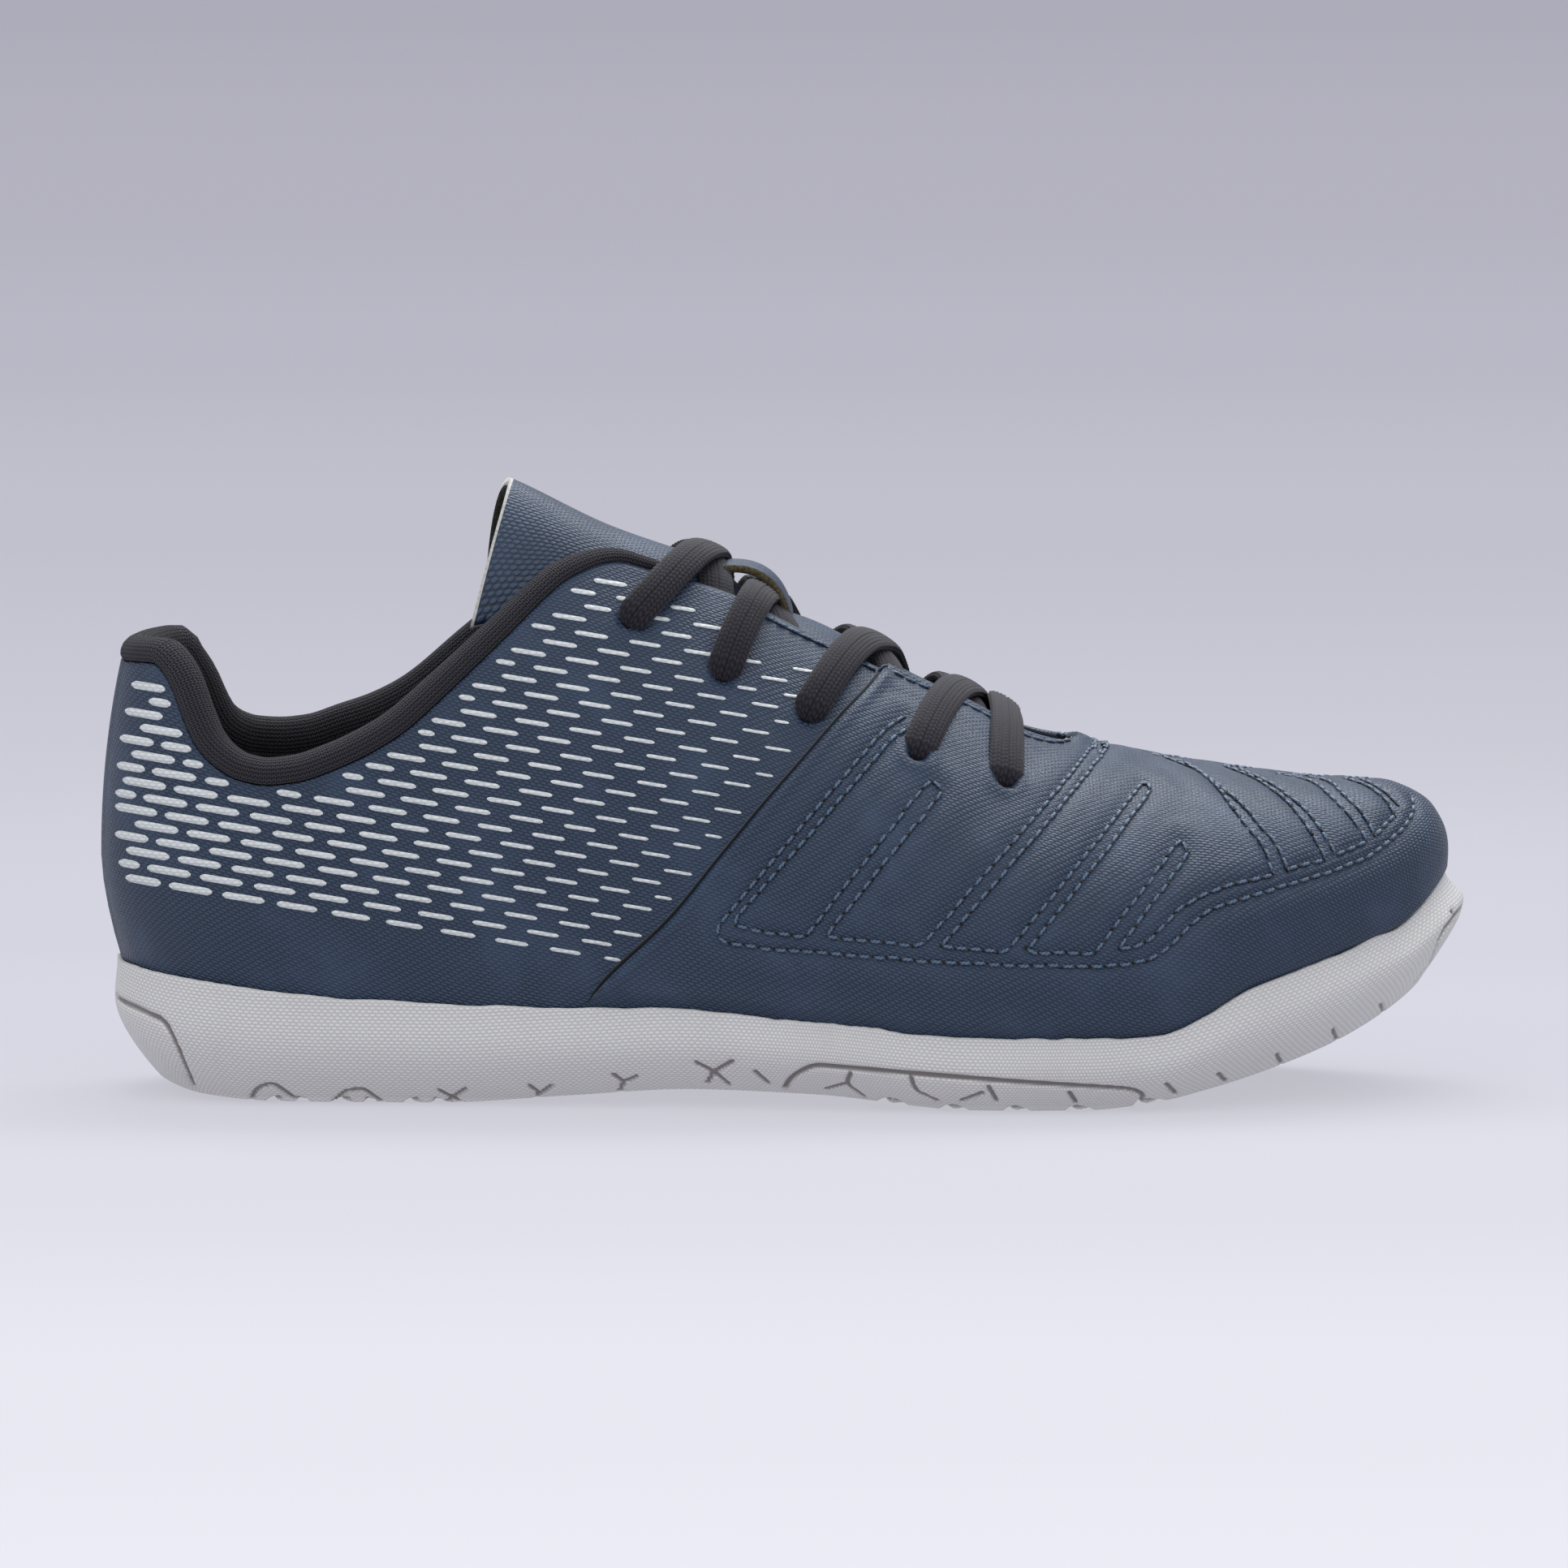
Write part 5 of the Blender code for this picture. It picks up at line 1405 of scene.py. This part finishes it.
def makeInsole():
    f, side = allRound(insole["stations"])
    c = columnsOf(f, side)
    foot = lastPoints(c, np.zeros((len(f), 1)))[:, 0]
    outward = np.stack([c["nx"], c["ny"], 0 * c["nx"]], 1)
    edge = foot - outward * (last["wall"] + 2 * last["gap"])
    other = lastPoints(columnsOf(f, -side), np.zeros((len(f), 1)))[:, 0]
    middle = (foot + other) / 2
    share = np.linspace(0, 1, insole["rows"] + 1)
    top = edge[:, None, :] + (middle - edge)[:, None, :] * share[None, :, None]
    top[..., 2] += last["gap"] + insole["thickness"]
    top[:, 0, 2] -= insole["edgeRound"]
    top[..., 2] += insole["edgeRise"] * (1 - ease(share * 3.2))[None, :]
    low = edge.copy()
    low[:, 2] += last["gap"]
    base = middle.copy()
    base[:, 2] += last["gap"]
    points = np.concatenate([base[:, None], low[:, None], top], 1)
    place = np.stack([points[..., 0] / mm, points[..., 1] / mm, 0 * points[..., 0]], -1)
    skin = sheetFrom(points, place, True)
    co, normal, place = arraysOf(skin)
    faces = [[v.index for v in face.verts] for face in skin.faces]
    made = meshFrom("sockInsole", co, faces, [sockSkin], place)
    skin.free()
    return made


sockInsole = makeInsole()
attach(sockInsole, "root")
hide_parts("insole")


# Tongue: a bowed sheet under the throat with a raw pale edge and a dark back
tongue = {
    "top": 0.297,
    "front": 0.735,
    "half": 0.0265,
    "tuck": 0.0052,
    "thickness": 0.0018,
    "farLean": 0.010,
    "dip": 0.0024,
    "dipAt": 0.483,
    "grain": 130,
    "long": 130,
    "wide": 64,
}


def tongueDip(along):
    # The second crossing presses the soft tongue down
    return tongue["dip"] * np.exp(-((along - tongue["dipAt"]) / 0.030) ** 2)


def stationAtRidge(x):
    return np.interp(-x, -ridgeGridX, ridgeGrid)


def makeTongue():
    share = np.concatenate([[0, 0.0045], np.linspace(0.012, 1, tongue["long"] - 1)])
    across = np.linspace(-1, 1, tongue["wide"] + 1)
    points, place, tucks = [], [], []
    for s in share:
        along = tongue["top"] + (tongue["front"] - tongue["top"]) * s
        far = tongue["farLean"] * np.sin(math.pi * np.clip(across, 0, 1)) * (1 - s) ** 8
        bent = along - 0.030 * across ** 2 * (1 - s) ** 3 - far
        f = stationAtRidge(xOf(bent))
        c = columnsOf(f, np.where(across < 0, -1, 1))
        half = np.abs(across) * tongue["half"] * (1 - 0.28 * s)
        middle = c["ridgeY"] + shift[1]
        v = firstCrossing(c, lambda p: half[:, None] - np.abs(p[..., 1] - middle[:, None]), widestAt)
        v = np.where(np.abs(across) < 1e-6, 1.0, v)
        points.append(lastPoints(c, v[:, None])[:, 0])
        standing = ease((0.50 - along) / 0.12)
        underVamp = ease((along - last["throatFront"] + 0.09) / 0.06)
        tucks.append(tongue["tuck"] * across ** 2 * (0.40 + 0.60 * standing) + 2 * last["gap"] * underVamp
                     + tongueDip(along) * (1 - 0.5 * across ** 2))
        down = across * tongue["half"] / mm
        place.append(np.stack([s * tongue["grain"] + 0 * across, down, np.abs(across)], 1))
    points, place, tucks = np.array(points), np.array(place), np.array(tucks)
    packed = place.copy()
    packed[..., 2] = tucks
    skin = sheetFrom(points, packed, False)
    co, normal, place = arraysOf(skin)
    outer = -(last["wall"] + last["gap"] + place[:, 2])
    made = thicken("tonguePiece", skin, outer, outer - tongue["thickness"], [tongueSkin, backSkin, edgeSkin])
    for face in made.data.polygons:
        # Deeper inside, the edge takes the dark back material as painted shade, and the cut shows as a pale line
        # round the top
        if face.material_index == 2 and min(place[i % len(co), 0] for i in face.vertices) > 45:
            face.material_index = 1
        if face.material_index == 0 and min(place[i, 0] for i in face.vertices if i < len(co)) < 0.3:
            face.material_index = 2
    return made


tonguePiece = makeTongue()
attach(tonguePiece, "root")
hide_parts("tongue")
print("tongue made")


# Collar: a padded knit roll on the quarters' top edge that runs on down the inside as a soft lining
collar = {
    "front": 0.427,
    "stations": 230,
    "rise": [(0.0003, 0.0001), (0.0010, 0.0007), (0.0022, 0.0009), (0.0036, 0.0006), (0.0048, -0.0002),
             (0.0057, -0.0014), (0.0061, -0.0028), (0.0059, -0.0042), (0.0052, -0.0054), (0.0040, -0.0063),
             (0.0026, -0.0068), (0.0012, -0.0069), (-0.0002, -0.0067), (-0.0014, -0.0063)],
    "lining": [(-0.003, -0.0064), (-0.005, -0.0070), (-0.008, -0.0076), (-0.011, -0.0078), (-0.015, -0.0076),
               (-0.020, -0.0070), (-0.025, -0.0060), (-0.030, -0.0047), (-0.034, -0.0033), (-0.037, -0.0023)],
    "back": [(-0.037, -0.0019), (-0.028, -0.0019), (-0.018, -0.0019), (-0.009, -0.0019), (-0.003, -0.0019),
             (0.0002, -0.0019), (0.0002, -0.0008)],
}


def makeCollar():
    f, side = allRound(collar["stations"])
    c = columnsOf(f, side)
    keep = c["ridgeX"] < xOf(collar["front"])
    start = np.argmax(keep)
    order = [k for k in range(start, len(f) - start + 1) if keep[k % len(f)]]
    v = topEdge(c)
    share = np.linspace(0, 1, 70)
    columns = lastPoints(c, v[:, None] + (0.15 - v[:, None]) * share)
    steps = np.linalg.norm(np.diff(columns, axis=1), axis=2)
    deep = np.concatenate([np.zeros((len(f), 1)), np.cumsum(steps, 1)], 1)
    outs = np.array([lastNormal(f[k], side[k], v[k]) for k in order])
    edge = columns[order, 0]
    way = unit(np.gradient(edge, axis=0))
    for _ in range(4):
        outs[1:-1] = (outs[:-2] + outs[1:-1] * 2 + outs[2:]) / 4
    outs = unit(outs)
    ups = unit(np.cross(way, outs))
    count = len(order)
    share = np.abs(2 * np.arange(count) / (count - 1) - 1)
    size = 1 - 0.62 * ease((share - 0.80) / 0.30)
    section = evenly(np.array(collar["rise"]), 0.0005)
    section = np.concatenate([section, evenly(np.array(collar["lining"]), 0.0022), np.array(collar["back"])])
    rings = []
    for i, k in enumerate(order):
        h = section[:, 0] * np.where(section[:, 0] > 0, size[i], 0.35 + 0.65 * (size[i] - 0.38) / 0.62)
        wall = -last["wall"] - 0.0001
        d = np.where(section[:, 1] < wall, wall + (section[:, 1] - wall) * size[i], section[:, 1])
        base = np.stack([np.interp(-h, deep[k], columns[k, :, j]) for j in range(3)], 1)
        rings.append(base + ups[i] * np.maximum(h, 0)[:, None] + outs[i] * d[:, None])
    points = np.array(rings)
    corners = len(section)
    place = gridPlace(wayAlong(edge) / mm, wayAlong(section) / mm, 0)
    return meshFrom("collarRoll", points, tubeFaces(0, count, corners), [knitSkin], place)


collarRoll = makeCollar()
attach(collarRoll, "root")
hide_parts("collar")
print("collar made")


# Laces: flat braided bands that leave a hole, cross the tongue and run under the other side
lace = {
    "width": 0.0069,
    "thickness": 0.0020,
    "steps": 210,
    "corners": 72,
    "wale": 0.80,
    "course": 1.15,
    "relief": 0.00046,
    "lead": [2.9, 1.15, 1.9, 1.25],
    "swing": 0.0017,
    "swingAt": 0.032,
    "swingOver": 0.026,
    "roundFrom": 2.2,
    "roundOver": 3.2,
    # Share of the way, height over the skin in mm, and what a band on top adds to it
    "knots": [
        (0.00, -3.0, 0), (0.02, -0.8, 0), (0.045, 1.7, 0), (0.09, 2.0, 0), (0.20, 1.9, 0.1), (0.30, 1.3, 0.5),
        (0.45, -0.9, 1.9), (0.55, -1.2, 1.9), (0.66, -1.9, 0.8), (0.76, -3.2, 0), (0.96, -3.4, 0),
        (1.00, -3.0, 0),
    ],
    "knotsBar": [
        (0.00, -3.0, 0), (0.02, -0.8, 0), (0.045, 1.9, 0), (0.09, 2.25, 0), (0.25, 2.4, 0), (0.50, 1.6, 0),
        (0.75, 2.4, 0), (0.91, 2.25, 0), (0.955, 1.9, 0), (0.98, -0.8, 0), (1.00, -3.0, 0),
    ],
}


def lacePath(start, end, over, across):
    # Middle line of a band from the hole at start to the underside of the hole at end
    f0, v0 = holes[start]
    f1, v1 = holes[end]
    knots = lace["knotsBar"] if across else lace["knots"]
    share = np.linspace(0, 1, lace["steps"] + 1)
    path, normals = [], []
    for s in share:
        place = 2 * s - 1
        side = start[1] if place < 0 else end[1]
        v = 1 - (1 - (v0 if place < 0 else v1)) * abs(place)
        f = f0 + (f1 - f0) * (1 - (1 - s) ** (1 if across else lace["lead"][start[0]]))
        path.append(spotOn(f, side, min(v, 0.9999)))
        normals.append(lastNormal(f, side, min(v, 0.995)))
    path, normals = np.array(path), np.array(normals)
    for _ in range(12):
        normals[1:-1] = (normals[:-2] + normals[1:-1] + normals[2:]) / 3
    normals = unit(normals)
    heights = smooth([k[0] for k in knots], [(k[1] + (k[2] if over else 0)) * mm for k in knots])(share)
    pressed = tongueDip(alongOf(path[:, 0] - shift[0])) * (1 - ease((np.abs(2 * share - 1) - 0.15) / 0.45))
    heights = heights - pressed
    ways = unit(np.gradient(path, axis=0))
    sides = unit(np.cross(ways, normals))
    swung = np.exp(-((share - lace["swingAt"]) / lace["swingOver"]) ** 2)
    if across:
        swung = swung - np.exp(-((1 - share - lace["swingAt"]) / lace["swingOver"]) ** 2)
    swung = np.where((share == 0) | (share == 1), 0, swung) * lace["swing"]
    return path + normals * heights[:, None] - ways * swung[:, None], sides


def braid(path, sides):
    # A flat band with rounded sides, raised in slanting strands like a braid
    length = wayAlong(path)
    even = np.linspace(0, length[-1], len(path))
    path = np.stack([np.interp(even, length, path[:, k]) for k in range(3)], 1)
    sides = np.stack([np.interp(even, length, sides[:, k]) for k in range(3)], 1)
    way = unit(np.gradient(path, axis=0))
    for _ in range(10):
        sides[1:-1] = (sides[:-2] + sides[1:-1] + sides[2:]) / 3
    sides = unit(sides - way * (sides * way).sum(1)[:, None])
    ups = np.cross(sides, way)
    corners = lace["corners"]
    fine = np.linspace(0, 2 * math.pi, 1441)
    rim = np.stack([np.sign(wave(fine)) * np.abs(wave(fine)) ** 0.75 for wave in (np.cos, np.sin)], 1)
    halves = np.array([lace["width"], lace["thickness"]]) / 2
    sized = rim * halves
    rim = evenly(sized, wayAlong(sized)[-1] / corners)[:corners]
    flat, tall = (rim / halves).T
    fromEnd = np.minimum(even, even[-1] - even) / mm
    spread = np.clip((fromEnd - lace["roundFrom"]) / lace["roundOver"], 0, 1)
    half = lace["width"] / 2 * (0.48 + 0.52 * np.sqrt(1 - (1 - spread) ** 2))
    rise = lace["thickness"] / 2 * (1.35 - 0.35 * ease(spread))
    around = wayAlong(np.concatenate([rim, rim[:1]])) / mm
    wales = round(around[-1] / lace["wale"] / 2) * 2
    across = around[:-1] / around[-1] * wales
    column = np.floor(across)
    inColumn = across - column
    slant = np.where(column % 2 == 0, 1.0, -1.0)
    phase = (even / mm)[:, None] / lace["course"] + (slant * inColumn * 0.5 + 0.25 * (column % 2))[None, :]
    strand = np.abs(np.sin(phase * math.pi))
    ribs = np.sqrt(np.abs(np.sin(inColumn * math.pi)))
    bumps = lace["relief"] * (0.35 + 0.65 * strand) * (0.25 + 0.75 * ribs[None, :])
    x = flat[None, :] * half[:, None]
    y = tall[None, :] * rise[:, None]
    size = np.hypot(x, y * 2) + 1e-9
    x = x + x / size * bumps
    y = y + y * 2 / size * bumps
    points = path[:, None, :] + sides[:, None, :] * x[..., None] + ups[:, None, :] * y[..., None]
    place = gridPlace(even / mm, around[:-1], strand * ribs[None, :])
    faces = []
    for k in range(len(path) - 1):
        a = k * corners
        b = a + corners
        faces += [[a + i, b + i, b + (i + 1) % corners, a + (i + 1) % corners] for i in range(corners)]
    faces.append([i for i in range(corners)])
    faces.append([(len(path) - 1) * corners + i for i in reversed(range(corners))])
    return points.reshape(-1, 3), place.reshape(-1, 3), faces


def makeLaces():
    rowsOfHoles = len(laceHoles)
    for row in range(rowsOfHoles):
        if row < rowsOfHoles - 1:
            bands = [((row, -1), (row + 1, 1), True, False), ((row, 1), (row + 1, -1), False, False)]
            name, node = f"laceCross{row + 1}", f"lace_cross_{row + 1}"
        else:
            bands = [((row, -1), (row, 1), False, True)]
            name, node = "laceBar", "lace_bar"
        points, places, faces = [], [], []
        for band in bands:
            some, place, sides = braid(*lacePath(*band))
            faces += [[i + sum(len(p) for p in points) for i in face] for face in sides]
            points.append(some)
            places.append(place)
        piece = meshFrom(name, np.concatenate(points), faces, [braidSkin], np.concatenate(places))
        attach(piece, "root")
        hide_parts(node)


makeLaces()
print("laces run")


# Loop on the tongue that holds the second crossing
loop = {
    "from": 0.447,
    "to": 0.505,
    "width": 0.0150,
    "thickness": 0.0016,
    "arch": 0.0060,
    "sink": 0.0013,
    "bow": 0.0009,
    "steps": 60,
    "wide": 20,
}


def makeLoop():
    share = np.linspace(0, 1, loop["steps"] + 1)
    along = loop["from"] + (loop["to"] - loop["from"]) * share
    f = stationAtRidge(xOf(along))
    spots = np.array([spotOn(one, -1, 1.0) for one in f])
    normals = np.array([lastNormal(one, -1, 0.985) for one in f])
    normals[:, 1] = 0
    normals = unit(normals)
    arch = np.sin(math.pi * share ** 1.25) ** 0.85
    lift = -last["wall"] - loop["sink"] - tongueDip(along) + loop["arch"] * arch
    across = np.linspace(-1, 1, loop["wide"] + 1)
    lift = lift[:, None] - loop["bow"] * across[None, :] ** 2
    points = spots[:, None, :] + normals[:, None, :] * lift[..., None]
    points[..., 1] += across[None, :] * loop["width"] / 2
    place = gridPlace(along * last["length"] / mm, across * loop["width"] / 2 / mm, 0)
    skin = sheetFrom(points, place, False)
    co, normal = arraysOf(skin)[:2]
    if normal[:, 2].mean() < 0:
        bmesh.ops.reverse_faces(skin, faces=skin.faces)
        skin.normal_update()
    thick = np.full(len(co), loop["thickness"])
    return thicken("laceLoop", skin, thick, thick * 0, [tongueSkin, oliveSkin, oliveSkin])


laceLoop = makeLoop()
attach(laceLoop, "root")
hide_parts("tongue_loop")
print("loop made")


# Floor, light and camera
# The floor's tone darkens with distance from the shoe as painted falloff of the light, and the floor glows so that
# shadows on it stay light
studio = {
    "reach": 30.0,
    "glow": 3.0,
    "floor": [(-0.75, (0.204, 0.203, 0.220)), (-0.45, (0.190, 0.189, 0.205)), (-0.15, (0.168, 0.167, 0.183)),
              (0.14, (0.149, 0.148, 0.165)), (0.33, (0.140, 0.140, 0.156)), (0.80, (0.137, 0.136, 0.152)),
              (1.10, (0.139, 0.138, 0.156)), (1.90, (0.132, 0.131, 0.148)), (3.30, (0.120, 0.118, 0.137)),
              (5.50, (0.113, 0.110, 0.128)), (14.0, (0.104, 0.1015, 0.119))],
    "sun": 1.9,
    "sunSpread": math.radians(110),
    "sky": 0.52,
}


def makeFloor():
    size = studio["reach"]
    points = [(-size, -6, -0.0002), (size, -6, -0.0002), (size, size, -0.0002), (-size, size, -0.0002)]
    made, tree, shader = startMaterial("paleFloor", 0.85, 0.0, 0.0)
    spot = tree.nodes.new("ShaderNodeTexCoord").outputs["Object"]
    split = tree.nodes.new("ShaderNodeSeparateXYZ")
    feed(tree, split.inputs[0], spot)
    # Tone by distance paints the light's falloff, and the emission makes the floor glow
    tone = studio["floor"][0][1]
    for (start, low), (end, high) in zip(studio["floor"], studio["floor"][1:]):
        tone = mixed(tree, ramp(tree, split.outputs[1], start, end), tone, high)
    feed(tree, shader.inputs["Base Color"], tone)
    feed(tree, shader.inputs["Emission Color"], tone)
    shader.inputs["Emission Strength"].default_value = studio["glow"]
    return meshFrom("floor", points, [[0, 1, 2, 3]], [made])


floor = makeFloor()


def addLight(name, kind, spot, aim, power, colour=(1, 1, 1)):
    light = bpy.data.lights.new(name, kind)
    light.energy = power
    light.color = colour
    made = bpy.data.objects.new(name, light)
    bpy.context.collection.objects.link(made)
    made.location = spot
    made.rotation_euler = (Vector(aim) - Vector(spot)).to_track_quat("-Z", "Y").to_euler()
    return light


sun = addLight("softSun", "SUN", (-0.10, -0.25, 1.0), (0, 0, 0), studio["sun"])
sun.angle = studio["sunSpread"]
top = addLight("topBox", "AREA", (0.10, 0.50, 0.80), (0, 0, 0.05), 7.0, (0.96, 0.98, 1.0))
top.shape = "RECTANGLE"
top.size = 0.9
top.size_y = 0.35
world = bpy.data.worlds.new("studio")
bpy.context.scene.world = world
world.use_nodes = True
world.node_tree.nodes["Background"].inputs["Color"].default_value = (0.88, 0.90, 1.0, 1)
world.node_tree.nodes["Background"].inputs["Strength"].default_value = studio["sky"]
bpy.context.scene.view_settings.view_transform = "Standard"


def addCamera():
    camera = bpy.data.cameras.new("camera")
    camera.lens = 250
    camera.sensor_width = 36
    camera.clip_end = 100
    made = bpy.data.objects.new("camera", camera)
    bpy.context.collection.objects.link(made)
    aim = Vector((0.0, 0.0, 0.0647))
    reach = photo["size"] * photo["pixel"] * camera.lens / camera.sensor_width
    made.location = aim + Vector((0, -math.cos(photo["tilt"]), math.sin(photo["tilt"]))) * reach
    made.rotation_euler = (aim - made.location).to_track_quat("-Z", "Y").to_euler()
    bpy.context.scene.camera = made


addCamera()
